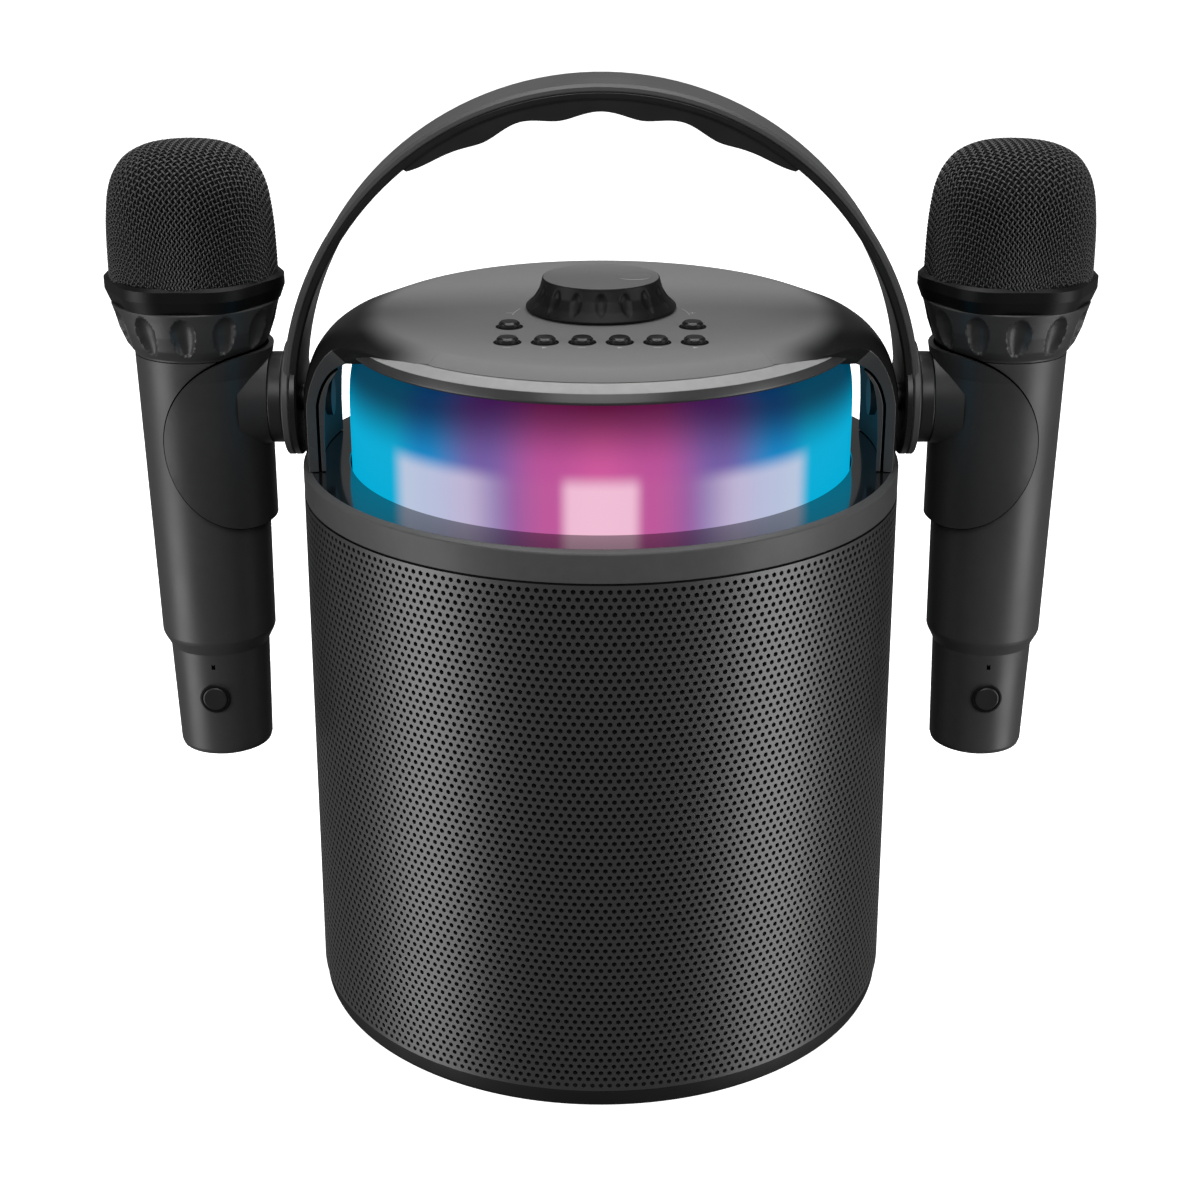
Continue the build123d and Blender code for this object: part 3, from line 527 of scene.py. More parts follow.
def speaker_body():
    """Sleeve, cloth behind it, foot, shoulder and light drum."""
    quarter = HOLES_ROUND // 4
    front = perforated_sleeve("sleeve_front_half", range(-quarter, quarter))
    rear = perforated_sleeve("sleeve_rear_half", range(quarter, 3 * quarter))
    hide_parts("speaker_grille")
    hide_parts("speaker_grille")
    cloth_r = SLEEVE_R_TOP - SHEET - 0.25
    cloth = [(cloth_r + 0.9, sleeve_low.z + 0.2), (cloth_r, sleeve_high.z), (cloth_r - 0.5, sleeve_high.z),
             (cloth_r + 0.4, sleeve_low.z + 0.2)]
    lathe("sleeve_cloth", cloth, acoustic_cloth, "speaker", steps=96)
    rim_r = box_mm("base_rim")[1].x
    lathe("foot_rim", [(62, 0, 0.4), (rim_r, 0, 1.6), (rim_r, 4.6, 0.7), (rim_r - 2.5, 5.0), (62, 5.0, 0.3)],
          black_rubber, "speaker", steps=192, replaces=["base_rim"])
    band = rounded([(SLEEVE_R_TOP - 2.6, 137.3, 0.2), (SLEEVE_R_TOP - 0.05, 137.3, 0.35),
                    (SLEEVE_R_TOP - 0.05, 144.3, 0.7), (SLEEVE_R_TOP - 1.5, SHOULDER_TOP, 0.7),
                    (DRUM_R + 0.45, SHOULDER_TOP - 0.3, 0.25), (DRUM_R + 0.45, 142.6), (66, 141)], True, 6)
    verts, faces = lathe_mesh(band, steps=192)
    rows = len(band)
    kinds = []
    for face in faces:
        r, z = band[face[0] % rows]
        kinds.append(1 if z > 144.4 and r < SLEEVE_R_TOP - 1.6 else 0)
    make_piece("shoulder", verts, faces, [shoulder_satin, smoked_gloss], "speaker",
               ["shoulder_ring"], kinds)
    drum = light_drum_material()
    side = smooth_line([(DRUM_R, 142.5), (DRUM_R, 157.0), (62.65, 163.0), (62.1, 167.5), (61.0, 171.3),
                        (59.0, 173.9), (56.0, drum_high.z), (54.0, drum_high.z)], 6)
    line = side + [(54, 172.3), (DRUM_R - 3.5, 171.5), (DRUM_R - 2.5, 168), (DRUM_R - 2.5, 142.5)]
    verts, faces = lathe_mesh(line, steps=192)
    make_piece("light_drum", verts, faces, [drum], "speaker", ["light_diffuser"])


# ---- speaker: cover, trim, arms --------------------------------------------

def smooth_line(points, per_span=8):
    """Catmull-Rom curve through the points."""
    pts = [Vector(p) for p in points]
    pts = [pts[0] * 2 - pts[1]] + pts + [pts[-1] * 2 - pts[-2]]
    line = []
    for a, b, c, d in zip(pts, pts[1:], pts[2:], pts[3:]):
        for k in range(per_span):
            t = k / per_span
            line.append(tuple(0.5 * (2 * b + (c - a) * t + (2 * a - 5 * b + 4 * c - d) * t * t
                                     + (3 * b - a - 3 * c + d) * t ** 3)))
    line.append(tuple(pts[-2]))
    return line


ARM_OUT = [(55.0, COVER_TOP), (58.6, COVER_TOP - 0.8), (62.0, 179.5), (65.3, 177.7), (68.0, 175.5),
           (70.7, 172.0), (72.5, 168.0), (73.6, 163.8), (ARM_R, 160.0), (ARM_R, 145.1)]
COLUMNS = 192
ARM_COLUMNS = 26             # columns each side of the arm's middle
# The cover's round edge flows into each arm: half the degrees that the arm covers, by radius.
FLARE = [(COVER_R, 48.75), (59.85, 46.0), (60.1, 43.0), (60.6, 39.0), (62.0, 32.0), (63.2, 27.0),
         (64.5, 22.8), (66.0, 19.2), (67.5, 17.0), (69.0, math.degrees(math.asin(ARM_HALF / 69.0)))]


def half_angle(r):
    """Half the angle that an arm covers at a radius, in radians."""
    if r > FLARE[-1][0]:
        return math.asin(ARM_HALF / r)
    return math.radians(float(np.interp(r, [f[0] for f in FLARE], [f[1] for f in FLARE])))


def moved_in(line, insets):
    """The line moved inwards, at right angles to itself, by an inset or a list of insets."""
    pts = [Vector(p) for p in line]
    if not isinstance(insets, (list, tuple)):
        insets = [insets] * len(pts)
    moved = []
    for i, (p, inset) in enumerate(zip(pts, insets)):
        along = (pts[min(i + 1, len(pts) - 1)] - pts[max(i - 1, 0)]).normalized()
        moved.append(tuple(p + Vector((along.y, -along.x)) * inset))
    return moved


def arm_grid(line, side, guide=None, narrower=0.0):
    """Grid of points over an arm: one row for each point of the line, from one edge to the other."""
    rows = []
    for (r, z), (guide_r, guide_z) in zip(line, guide or line):
        half = half_angle(guide_r) - narrower / guide_r
        row = []
        for k in range(-ARM_COLUMNS, ARM_COLUMNS + 1):
            a = half * k / ARM_COLUMNS
            t = min(1, max(0, (math.radians(40) - abs(a)) / math.radians(23)))
            t = t * t * (3 - 2 * t)
            drop = (1 - t) * (plate_z(guide_r) - guide_z)
            row.append((side * r * math.cos(a), r * math.sin(a), z + drop))
        rows.append(row)
    return rows


def plate_z(r):
    """Height of the cover's own edge at radius r, carried on past the seam."""
    if r <= COVER_R:
        t = max(0, (r - 55.0) / (COVER_R - 55.0))
        return COVER_TOP - (COVER_TOP - SEAM_Z - 0.1) * t ** 1.7
    return SEAM_Z + 0.1 - (r - COVER_R) * 0.6


def slab(name, outer, inner, material, body, replaces=(), bevel=0.0, sharp=38):
    """Closed piece between two grids of points with the same rows and columns."""
    rows, cols = len(outer), len(outer[0])
    verts = [p for row in outer for p in row] + [p for row in inner for p in row]
    step = rows * cols
    faces = []
    for i in range(rows - 1):
        for j in range(cols - 1):
            a, b, c, d = i * cols + j, i * cols + j + 1, (i + 1) * cols + j + 1, (i + 1) * cols + j
            faces += [(a, b, c, d), (step + a, step + d, step + c, step + b)]
    for i in range(rows - 1):
        for j in (0, cols - 1):
            a, b = i * cols + j, (i + 1) * cols + j
            faces.append((a, b, step + b, step + a))
    for j in range(cols - 1):
        for i in (0, rows - 1):
            a, b = i * cols + j, i * cols + j + 1
            faces.append((a, b, step + b, step + a))
    piece = make_piece(name, verts, faces, [material], body, replaces, sharp=sharp)
    if bevel:
        ease_edges(piece, bevel)
    return piece


def ease_edges(piece, width, segments=3, angle=40):
    """Bevels the edges sharper than the angle."""
    ease = piece.modifiers.new("ease", "BEVEL")
    ease.width = width * MM
    ease.segments = segments
    ease.limit_method = "ANGLE"
    ease.angle_limit = math.radians(angle)


def speaker_top():
    """Lip, cover with its arms, and the groove and liner in each arm."""
    trim = rounded([(54, 174.6), (62.4, 174.6, 0.5), (63.2, 175.1, 0.6), (62.1, 177.3, 0.5),
                    (59.7, 178.95, 0.15), (54, 178.95)], True, 5)
    verts, faces = lathe_mesh(trim, steps=192)
    # Painted shade: the lip's lower, undercut faces get the dark copy of the trim plastic.
    kinds = [1 if trim[face[0] % len(trim)][1] < 176.9 else 0 for face in faces]
    make_piece("lip", verts, faces, [trim_satin, trim_painted_shade], "speaker", ["trim_ring"], kinds)
    cover_with_arms()
    line = smooth_line(ARM_OUT, 5)
    for side_name, side in SIDES:
        depth = skin_depth(line)
        first = next(i for i, p in enumerate(line) if p[0] > 69.6)
        low = line[first:]
        groove_out = moved_in(line, [d - 0.1 for d in depth])[first:]
        groove_in = moved_in(line, [d + 0.9 for d in depth])[first:]
        # painted shade: a black piece fills the groove between the shell and the liner
        slab(f"{side_name}_arm_groove_shade", arm_grid(groove_out, side, low, 0.9),
             arm_grid(groove_in, side, low, 0.9), shadow_and_slot_black, "speaker")
        inside = resampled(LINING_IN, 33)
        outside = resampled(moved_in(line, [d + 0.7 for d in depth])[first:], 33)
        guide = resampled(low, 33)
        slab(f"{side_name}_arm_liner", arm_grid(outside, side, guide), arm_grid(inside, side, guide),
             rim_lit_gloss, "speaker", [f"{side_name}_arm_lining"], bevel=0.3)
        shade_liner_sides(bpy.data.objects[f"{side_name}_arm_liner"])


LINING_IN = [(67.2, 169.0), (68.3, 167.0), (69.1, 163.5), (69.5, 159.5), (69.8, 153.5), (69.8, 145.1)]
# Thickness of the arm's outer shell, seen as its front rim, by the outer line's radius and then its height.
SKIN_BY_R = ((55.0, 1.2), (60.0, 1.2), (62.0, 1.6), (63.2, 3.4), (64.5, 4.8), (66.0, 5.3), (68.0, 4.8),
             (70.7, 3.5), (72.5, 2.7), (73.6, 2.4))


def skin_depth(line):
    """The shell's thickness at each point of the line."""
    return [float(np.interp(r, [p[0] for p in SKIN_BY_R], [p[1] for p in SKIN_BY_R])) for r, _ in line]


def shade_liner_sides(liner):
    """Painted shade: the liner's faces towards the light drum get a darker, duller copy of its front rim's
    plastic.
    """
    liner.data.materials.append(liner_shaded_side)
    for polygon in liner.data.polygons:
        if abs(polygon.normal.y) < 0.6:
            polygon.material_index = 1


def resampled(line, count):
    """The line with count points, evenly spaced along it."""
    pts = np.array(line)
    run = np.concatenate([[0], np.cumsum(np.hypot(*np.diff(pts, axis=0).T))])
    at = np.linspace(0, run[-1], count)
    return list(zip(np.interp(at, run, pts[:, 0]), np.interp(at, run, pts[:, 1])))


def cover_with_arms():
    """Matt cover plate whose edge sweeps out and down into the two side arms."""
    verts, faces = [], []

    def add_grid(rows, skip=lambda i: False):
        start, cols = len(verts), len(rows[0])
        for row in rows:
            verts.extend(row)
        for i in range(len(rows) - 1):
            for j in range(cols - 1):
                if not skip(j):
                    a = start + i * cols + j
                    faces.append((a, a + 1, a + cols + 1, a + cols))

    ring = [2 * math.pi * k / COLUMNS for k in range(COLUMNS + 1)]
    flat_r = [0.01, 5, 18, 30, 42, 50, 53, 55]
    add_grid([[(r * math.cos(a), r * math.sin(a), COVER_TOP) for a in ring] for r in flat_r])
    edge = [(55 + (COVER_R - 55) * k / 8, 0) for k in range(9)]
    edge = [(r, plate_z(r)) for r, _ in edge]
    edge += [(COVER_R - 0.12, SEAM_Z + 0.02), (COVER_R - 0.5, SEAM_Z - 0.02), (COVER_R - 3, SEAM_Z - 0.02)]

    def in_arm(j):
        j = j % (COLUMNS // 2)
        return j < ARM_COLUMNS or j >= COLUMNS // 2 - ARM_COLUMNS

    add_grid([[(r * math.cos(a), r * math.sin(a), z) for a in ring] for r, z in edge], in_arm)
    line = smooth_line(ARM_OUT, 5)
    for side in (-1, 1):
        outer = arm_grid(line, side)
        inner = arm_grid(moved_in(line, skin_depth(line)), side, line)
        add_grid(outer)
        add_grid(inner)
        for edge_column in (0, -1):
            rows = [(o[edge_column], i[edge_column]) for o, i in zip(outer, inner)]
            add_grid(rows)
        add_grid([outer[-1], inner[-1]])
    piece = make_piece("cover_with_arms", verts, faces, [cover_painted_shade, rim_lit_gloss], "speaker",
                       ["top_cover"], sharp=50)
    # Painted light: the arms' front- and rear-facing faces get the lighter gloss grey.
    for polygon in piece.data.polygons:
        c = polygon.center / MM
        if math.hypot(c.x, c.y) > 61.5 and abs(polygon.normal.y) > 0.75:
            polygon.material_index = 1
    ease_edges(piece, 0.7, segments=4, angle=50)


# ---- handle ------------------------------------------------------------------

def handle():
    """The handle's CAD pieces, with their edges eased."""
    give_cad("handle_outer_strap", strap_satin, 0.25)
    give_cad("handle_inner_strap", strap_edge, 0.25)
    give_cad("handle_grip", soft_grip, 0.5)


# ---- knob and buttons ----------------------------------------------------------

KNOB_FLUTES = 16
CUP_FLUTES = 12


def fluted(count, low, high, width, depth, widest=0.5, least_r=0.0):
    """Shape function for a lathe: count hollows between heights low and high, widest at that share of the
    way up."""
    def shape(r, a, z):
        if r < least_r or not low < z < high:
            return r
        t = (z - low) / (high - low)
        t = t * 0.5 / widest if t < widest else 0.5 + (t - widest) * 0.5 / (1 - widest)
        half = width / 2 * math.sqrt(max(0.0, 1 - (2 * t - 1) ** 2))
        step = 2 * math.pi / count
        off = (a + math.pi / 2 + step / 2) % step - step / 2
        near = abs(off * r) / max(half, 1e-6)
        return r if near >= 1 else r - depth * (half * 2 / width) * (1 - near ** 2) ** 0.55
    return shape


def dense(line, gap):
    """The line with extra points, none further apart than gap."""
    out = [line[0]]
    for a, b in zip(line, line[1:]):
        n = max(1, int(math.dist(a, b) / gap))
        out += [(a[0] + (b[0] - a[0]) * k / n, a[1] + (b[1] - a[1]) * k / n) for k in range(1, n + 1)]
    return out


def knob_and_buttons():
    """Knob, its pale crescent of painted highlight, button caps with flat black rings of painted shade round
    them, and the printed marks.
    """
    low, high = box_mm("volume_knob")
    foot, top = low.z, high.z
    skirt = rounded([(0, foot + 1.5), (12, foot + 1.5), (12, foot), (18.55, foot, 0.25),
                     (18.6, foot + 0.5, 0.25), (16.6, foot + 2.4, 3), (15.3, foot + 4.5, 3),
                     (14.55, foot + 7.0, 2), (14.45, top - 0.02, 0.3), (14.0, top, 0.1),
                     (13.2, top - 0.12, 0.1), (0, top - 0.12)], False, 5)
    skirt = dense(skirt, 0.35)
    grooves = fluted(KNOB_FLUTES, foot + 1.3, top - 1.2, 2.7, 0.6, 0.5, 13.5)
    dimple_x, dimple_r, dimple_deep = 8.2, 4.3, 0.55

    verts, faces = lathe_mesh(skirt, steps=KNOB_FLUTES * 20, closed=False, shape=grooves)
    sunk = []
    for x, y, z in verts:
        near = math.hypot(x - dimple_x, y) / dimple_r
        if near < 1 and z > top - 0.5:
            z -= dimple_deep * (1 - near ** 2)
        sunk.append((x, y, z))
    kinds = [1 if sum(verts[i][2] for i in face) / 4 > top - 0.25 and math.hypot(*verts[face[0]][:2]) < 14.3
             else 0 for face in faces]
    make_piece("knob", sunk, faces, [knob_black, cover_matte], "volume_knob", ["volume_knob"],
               kinds)
    # painted highlight: a pale crescent along the front edge of the finger dimple
    outer, inner = [], []
    for k in range(25):
        a = math.radians(200 + 140 * k / 24)
        thick = 0.75 * math.sin(math.pi * k / 24) + 0.02
        outer.append((dimple_x + 4.2 * math.cos(a), 4.2 * math.sin(a), top + 0.02))
        inner.append((dimple_x + (4.2 - thick) * math.cos(a), (4.2 - thick) * math.sin(a), top + 0.0))
    faces = [(i, i + 1, 26 + i, 25 + i) for i in range(24)]
    make_piece("knob_highlight_crescent", outer + inner, faces, [pale_ink_and_highlight], "volume_knob")
    for number in range(1, 9):
        low, high = box_mm(f"push_button_{number}")
        x, y = (low.x + high.x) / 2, (low.y + high.y) / 2
        cap = rounded([(0, high.z - 0.1), (2.05, high.z - 0.12, 0.2), (2.55, high.z - 0.6, 0.2), (2.6, low.z),
                       (0, low.z)], False, 5)
        place_lathe(f"button_{number}_cap", cap, x, y, button_cap, f"button_{number}",
                    [f"push_button_{number}"])
        # Painted shade: a flat black ring round each cap stands for the shaded gap between cap and cover.
        shade_ring = [(2.62, COVER_TOP - 0.5), (2.62, COVER_TOP + 0.04), (3.3, COVER_TOP + 0.05),
                (3.35, COVER_TOP - 0.1)]
        place_lathe(f"button_{number}_well", shade_ring, x, y, button_gap_shade, "speaker")
    marks()


MARK_X = 22.4                # plus and minus marks beside the knob
ARC_R = 21.6


def marks():
    """Printed marks: a sign and an arc on each side of the knob, a bar or triangle below each front button."""
    z = COVER_TOP + 0.03
    shapes = []
    for side in (-1, 1):
        x = side * MARK_X
        shapes.append([(x - 0.8, -5.2), (x + 0.8, -5.2), (x + 0.8, -4.9), (x - 0.8, -4.9)])
        if side > 0:
            shapes.append([(x - 0.15, -5.85), (x + 0.15, -5.85), (x + 0.15, -4.25), (x - 0.15, -4.25)])
        arc = [math.radians(d) for d in range(5, 24, 3)]
        near = [(side * ARC_R * math.cos(a), ARC_R * math.sin(a) - 9) for a in arc]
        far = [(side * (ARC_R + 0.2) * math.cos(a), (ARC_R + 0.2) * math.sin(a) - 9) for a in arc]
        shapes.append(near + far[::-1])
    for number in range(1, 7):
        low, high = box_mm(f"push_button_{number}")
        x, y = (low.x + high.x) / 2, low.y - 2.4
        if number % 2:
            shapes.append([(x - 0.9, y + 0.15), (x + 0.9, y + 0.15), (x + 0.9, y - 0.15),
                           (x - 0.9, y - 0.15)])
        else:
            shapes.append([(x - 0.5, y + 0.6), (x + 0.7, y), (x - 0.5, y - 0.6)])
    verts, faces = [], []
    for shape in shapes:
        faces.append(tuple(range(len(verts), len(verts) + len(shape))))
        verts += [(x, y, z) for x, y in shape]
    make_piece("printed_marks", verts, faces, [pale_ink_and_highlight], "speaker")


def place_lathe(name, line, x, y, material, body, replaces=(), steps=48):
    """Turned piece whose axis stands at x, y."""
    verts, faces = lathe_mesh(line, steps=steps, closed=False)
    verts = [(vx + x, vy + y, vz) for vx, vy, vz in verts]
    return make_piece(name, verts, faces, [material], body, replaces)


# ---- clips and microphones -------------------------------------------------------

def clips():
    """Collars, clips and the painted shadow line round each clip."""
    for side_name, side in SIDES:
        give_cad(f"{side_name}_clip_collar", black_satin)
        give_cad(f"{side_name}_mic_clip", clip_plastic, 0.35)
        # painted shadow: a black line round the clip's edge
        clip_shadow_line(side_name, side)


CLIP_X, CLIP_Z, CLIP_R = 85.0, 150.4, 22.4
CLIP_SHELL_R = 17.15


def clip_shadow_line(side_name, side):
    """Thin shadow line along the clip's round edge, front and rear, where it meets the microphone."""
    verts, faces = [], []
    for facing in (-1, 1):
        start = len(verts)
        rows = 0
        for k in range(97):
            t = math.radians(-112 + 224 * k / 96)
            x = CLIP_X + (CLIP_R + 0.05) * math.cos(t)
            z = CLIP_Z + (CLIP_R + 0.05) * math.sin(t)
            off = x - MIC_X
            if abs(off) > CLIP_SHELL_R - 0.6 or z > 173.2 or z < 126.2:
                continue
            rows += 1
            for r_off, along in ((-1.4, -0.02), (-1.4, 0.28), (-0.55, 0.28), (-0.55, -0.02)):
                r = CLIP_SHELL_R + r_off
                y = facing * math.sqrt(max(r * r - off * off, 0.5))
                verts.append((side * (x + along * math.cos(t)), y, z + along * math.sin(t)))
        for i in range(rows - 1):
            row = start + i * 4
            for k in range(4):
                m = (k + 1) % 4
                faces.append((row + k, row + m, row + 4 + m, row + 4 + k))
    make_piece(f"{side_name}_clip_shadow_line", verts, faces, [shadow_and_slot_black], f"{side_name}_holder")


def microphone(side_name, side):
    """One microphone's shell, cup, ring, foam, button and woven head."""
    body = f"{side_name}_microphone"
    x = side * MIC_X
    name = f"{side_name}_mic_"
    give_cad(name + "lower_sleeve", mic_paint, 0.15)
    give_cad(name + "main_tube", mic_paint)
    cup = rounded([(13.3, 171.6), (15.7, 171.6, 0.3), (15.85, 172.2, 0.4), (17.5, 174.6, 3), (19.0, 178.5, 4),
                   (19.9, 182.3, 3), (20.5, 184.3, 0.3), (20.3, 184.6), (4, 184.6), (4, 182.4), (16.6, 182.4),
                   (14.8, 175)], True, 5)
    cup_line = dense(cup, 0.45)
    verts, faces = lathe_mesh(cup_line, x, CUP_FLUTES * 26, True,
                              fluted(CUP_FLUTES, 173.6, 183.4, 5.6, 2.1, 0.62, 15.5))
    make_piece(name + "cup", verts, faces, [mic_plastic], body, [name + "fluted_collar"])
    give_cad(name + "ring", ring_gloss, 0.5)
    give_cad(name + "foam", foam_black)
    give_cad(name + "power_button", black_satin)
    power_button_ring(name, x, body)
    for family in (0, 1):
        wires(name + ("warp", "weft")[family], x, body, name + "grille", family)


LAMP_SLOT_Z = 90.3
LAMP_SLOT_Y = -12.62


def power_button_ring(name, x, body):
    """Dark bezel round the power button, and the small lamp slot above it."""
    low, high = box_mm(name + "power_button")
    z = (low.z + high.z) / 2
    half = (high.z - low.z) / 2

    def facing_front(part, line, material):
        verts, faces = lathe_mesh(line, steps=48)
        verts = [(vx + x, -vz, vy + z) for vx, vy, vz in verts]
        make_piece(name + part, verts, faces, [material], body)

    front = -low.y
    bezel = rounded([(half + 0.1, front - 2.0), (half + 0.1, front - 0.2, 0.1),
                     (half + 0.75, front - 0.35, 0.2), (half + 0.8, front - 2.0)], True, 4)
    facing_front("button_bezel", bezel, ring_gloss)
    slot_z = LAMP_SLOT_Z
    y = LAMP_SLOT_Y
    lamp = [(x - 0.45, y, slot_z - 0.7), (x + 0.45, y, slot_z - 0.7), (x + 0.45, y, slot_z + 0.7),
            (x - 0.45, y, slot_z + 0.7)]
    inner = [(px, y + 0.6, pz) for px, _, pz in lamp]
    make_piece(name + "lamp_slot", lamp + inner,
               [(0, 1, 2, 3), (4, 7, 6, 5), (0, 4, 5, 1), (1, 5, 6, 2), (2, 6, 7, 3), (3, 7, 4, 0)],
               [shadow_and_slot_black], body)


WIRE_PITCH = 1.3
WIRE_R = 0.27
DOME_LINE = [(0, 222.2), (5, 222.0), (10, 221.2), (14.4, 218.9), (17.2, 215.3), (18.7, 211.3), (19.4, 207.0),
             (19.8, 202.9), (20.0, 198.4), (20.1, 193.3), (20.1, 189.8)]


def wires(name, x, body, node, family):
    """The wires of the woven head that run one way. A flat square weave, turned by 45 degrees, is laid
    on the dome by arc length from the top, and each wire passes over and under the others in turn."""
    line = np.array(smooth_line(DOME_LINE, 8))
    steps = np.hypot(*np.diff(line, axis=0).T)
    run = np.concatenate([[0], np.cumsum(steps)])
    reach = run[-1]
    lean = np.gradient(line, run, axis=0)
    verts, faces = [], []
    sides = 4
    ring = [2 * math.pi * (k + 0.5) / sides for k in range(sides)]
    count = int(reach / WIRE_PITCH)
    for w in range(-count, count + 1):
        off = (w + 0.5) * WIRE_PITCH
        half = math.sqrt(max(reach ** 2 - off ** 2, 0))
        if half < WIRE_PITCH:
            continue
        samples = int(2 * half / (WIRE_PITCH / 3.3)) + 1
        t = np.linspace(-half, half, samples)
        a, b = (t, np.full(samples, off)) if family == 0 else (np.full(samples, off), t)
        weave = np.sin(math.pi * t / WIRE_PITCH) * (1 if (w + family) % 2 == 0 else -1)
        a, b = (a - b) * math.sqrt(0.5), (a + b) * math.sqrt(0.5)
        rho = np.clip(np.hypot(a, b), 1e-6, reach)
        r = np.interp(rho, run, line[:, 0])
        z = np.interp(rho, run, line[:, 1])
        dr, dz = np.interp(rho, run, lean[:, 0]), np.interp(rho, run, lean[:, 1])
        ca, sa = a / rho, b / rho
        out = np.stack([-dz * ca, -dz * sa, dr], 1)
        out /= np.linalg.norm(out, axis=1, keepdims=True)
        p = np.stack([x + r * ca, r * sa, z], 1) + out * (weave * WIRE_R * 0.8)[:, None]
        along = np.gradient(p, axis=0)
        along /= np.linalg.norm(along, axis=1, keepdims=True)
        across = np.cross(along, out)
        start = len(verts)
        for q, o, c in zip(p, out, across):
            for g in ring:
                verts.append(q + (o * math.cos(g) + c * math.sin(g)) * WIRE_R)
        for i in range(samples - 1):
            for k in range(sides):
                m = (k + 1) % sides
                faces.append((start + i * sides + k, start + i * sides + m,
                              start + (i + 1) * sides + m, start + (i + 1) * sides + k))
    mesh = bpy.data.meshes.new(name)
    mesh.from_pydata((np.array(verts) * MM).tolist(), [], faces)
    mesh.materials.append(mesh_wire)
    mesh.shade_smooth()
    piece = bpy.data.objects.new(name, mesh)
    bpy.context.collection.objects.link(piece)
    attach(piece, body)
    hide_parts(node)
    return piece


# ---- inner pieces and rear --------------------------------------------------------

def rear_bezel():
    """Raised frame round the rear socket panel, which covers the cut edge of the perforated sheet."""
    wide, tall = (panel_high.x - panel_low.x) / 2, (panel_high.z - panel_low.z) / 2
    mid_z = (panel_high.z + panel_low.z) / 2
    corner = 3.0
    section = [(-1.2, -1.4), (-1.2, 0.35), (-0.7, 0.75), (1.7, 0.75), (2.3, 0.3), (2.3, -0.6)]
    path = []
    for cx, cz, start in ((wide - corner, tall - corner, 0), (-wide + corner, tall - corner, 90),
                          (-wide + corner, -tall + corner, 180), (wide - corner, -tall + corner, 270)):
        for k in range(7):
            a = math.radians(start + 15 * k)
            path.append((cx, cz, a))
    verts, faces = [], []
    for cx, cz, a in path:
        for out, lift in section:
            x = cx + (corner + out) * math.cos(a)
            z = mid_z + cz + (corner + out) * math.sin(a)
            r = sleeve_r(z) + lift
            verts.append((x, math.sqrt(r * r - x * x), z))
    n, rows = len(section), len(path)
    for i in range(rows):
        for k in range(n - 1):
            j = (i + 1) % rows
            faces.append((i * n + k, i * n + k + 1, j * n + k + 1, j * n + k))
    make_piece("rear_bezel", verts, faces, [black_satin], "speaker", sharp=50)


def plain_nodes():
    """CAD nodes that stay as they are and get real materials."""
    kept = {
        "base_tray": black_satin, "base_screws": pin_steel, "cabinet": black_satin, "woofer_frame": iron_dull,
        "woofer_cone": paper_black, "woofer_magnet": iron_dull, "speaker_cells": cell_blue,
        "main_board": board_green, "port_panel": black_satin, "port_sockets": socket_steel,
        "reflector_core": reflector_white, "led_ring_board": board_green, "led_chips": reflector_white,
        "pivot_pins": pin_dark, "control_board": board_green, "control_switches": black_satin,
    }
    for node, mat in kept.items():
        give_cad(node, mat)
    for side_name, _ in SIDES:
        give_cad(f"{side_name}_mic_capsule", iron_dull)
        give_cad(f"{side_name}_mic_cell", cell_blue)
        give_cad(f"{side_name}_mic_circuit_board", board_green)


# ---- camera, floor and lights --------------------------------------------------------

CAMERA_AT = (0.0, -0.5004, 0.3018)
CAMERA_DOWN = 21.57          # degrees
LENS = 61.8
SENSOR = 36
CAMERA_SHIFT = -1 / 1200     # of the picture's width


def camera():
    """Camera in front of the object, looking down at it."""
    data = bpy.data.cameras.new("camera")
    data.lens = LENS
    data.sensor_width = SENSOR
    cam = bpy.data.objects.new("camera", data)
    bpy.context.collection.objects.link(cam)
    cam.location = CAMERA_AT
    cam.rotation_euler = (math.radians(90 - CAMERA_DOWN), 0, 0)
    data.shift_x = CAMERA_SHIFT
    bpy.context.scene.camera = cam


def area_light(name, at, aim, size, power, colour=(1, 1, 1)):
    """Rectangular light at a place, turned towards aim."""
    data = bpy.data.lights.new(name, "AREA")
    data.shape = "RECTANGLE"
    data.size, data.size_y = size
    data.energy = power
    data.color = colour
    lamp = bpy.data.objects.new(name, data)
    bpy.context.collection.objects.link(lamp)
    lamp.location = at
    lamp.rotation_euler = (Vector(aim) - Vector(at)).to_track_quat("-Z", "Y").to_euler()
    return lamp


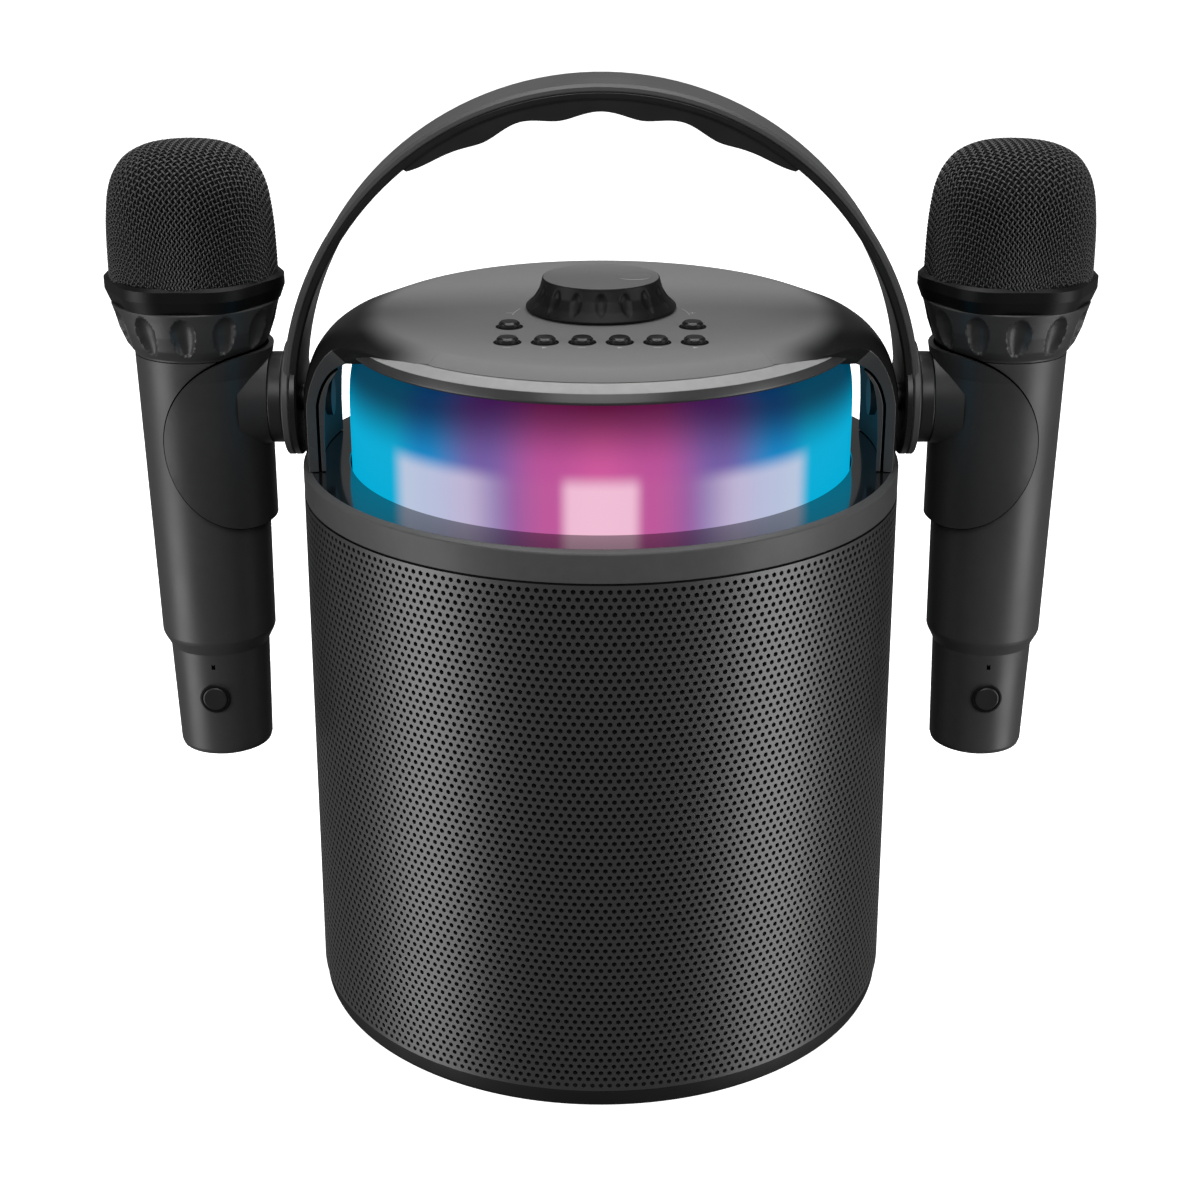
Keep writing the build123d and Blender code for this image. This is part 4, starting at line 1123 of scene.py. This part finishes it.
def studio():
    """White surroundings, a white floor and four lights."""
    world = bpy.data.worlds.new("studio")
    bpy.context.scene.world = world
    world.use_nodes = True
    tree = world.node_tree
    back = tree.nodes["Background"]
    back.inputs["Color"].default_value = (1, 1, 1, 1)
    back.inputs["Strength"].default_value = 0.13
    bright = tree.nodes.new("ShaderNodeBackground")
    bright.inputs["Color"].default_value = (1, 1, 1, 1)
    bright.inputs["Strength"].default_value = 1.3
    path = tree.nodes.new("ShaderNodeLightPath")
    mix = tree.nodes.new("ShaderNodeMixShader")
    link(tree, path, "Is Camera Ray", mix, "Fac")
    tree.links.new(back.outputs[0], mix.inputs[1])
    tree.links.new(bright.outputs[0], mix.inputs[2])
    tree.links.new(mix.outputs[0], tree.nodes["World Output"].inputs["Surface"])

    mesh = bpy.data.meshes.new("floor")
    far = 4.0
    mesh.from_pydata([(-far, -far, 0), (far, -far, 0), (far, far, 0), (-far, far, 0)], [], [(0, 1, 2, 3)])
    floor = bpy.data.objects.new("floor", mesh)
    bpy.context.collection.objects.link(floor)
    floor.location.z = -0.0002
    mat, _, bsdf = new_material("floor_white")
    bsdf.inputs["Base Color"].default_value = (0.9, 0.9, 0.9, 1)
    bsdf.inputs["Roughness"].default_value = 0.9
    bsdf.inputs["Emission Color"].default_value = (1, 1, 1, 1)
    bsdf.inputs["Emission Strength"].default_value = 1.0
    mesh.materials.append(mat)
    floor.visible_glossy = False
    floor.visible_diffuse = False
    floor.visible_shadow = False

    area_light("side_left", (-0.88, -0.36, 0.0), (0, 0, 0.1), (0.5, 1.2), 6.5)
    area_light("side_right", (0.88, -0.36, 0.0), (0, 0, 0.1), (0.5, 1.2), 6.5)
    area_light("overhead", (0, 0.2, 1.1), (0, 0, 0.15), (1.0, 1.0), 12)
    area_light("front", (0, -0.9, 0.85), (0, 0, 0.15), (0.8, 0.5), 5)
    bpy.context.scene.view_settings.view_transform = "Standard"


speaker_body()
speaker_top()
handle()
knob_and_buttons()
clips()
for side_name, side in SIDES:
    microphone(side_name, side)
rear_bezel()
plain_nodes()
camera()
studio()
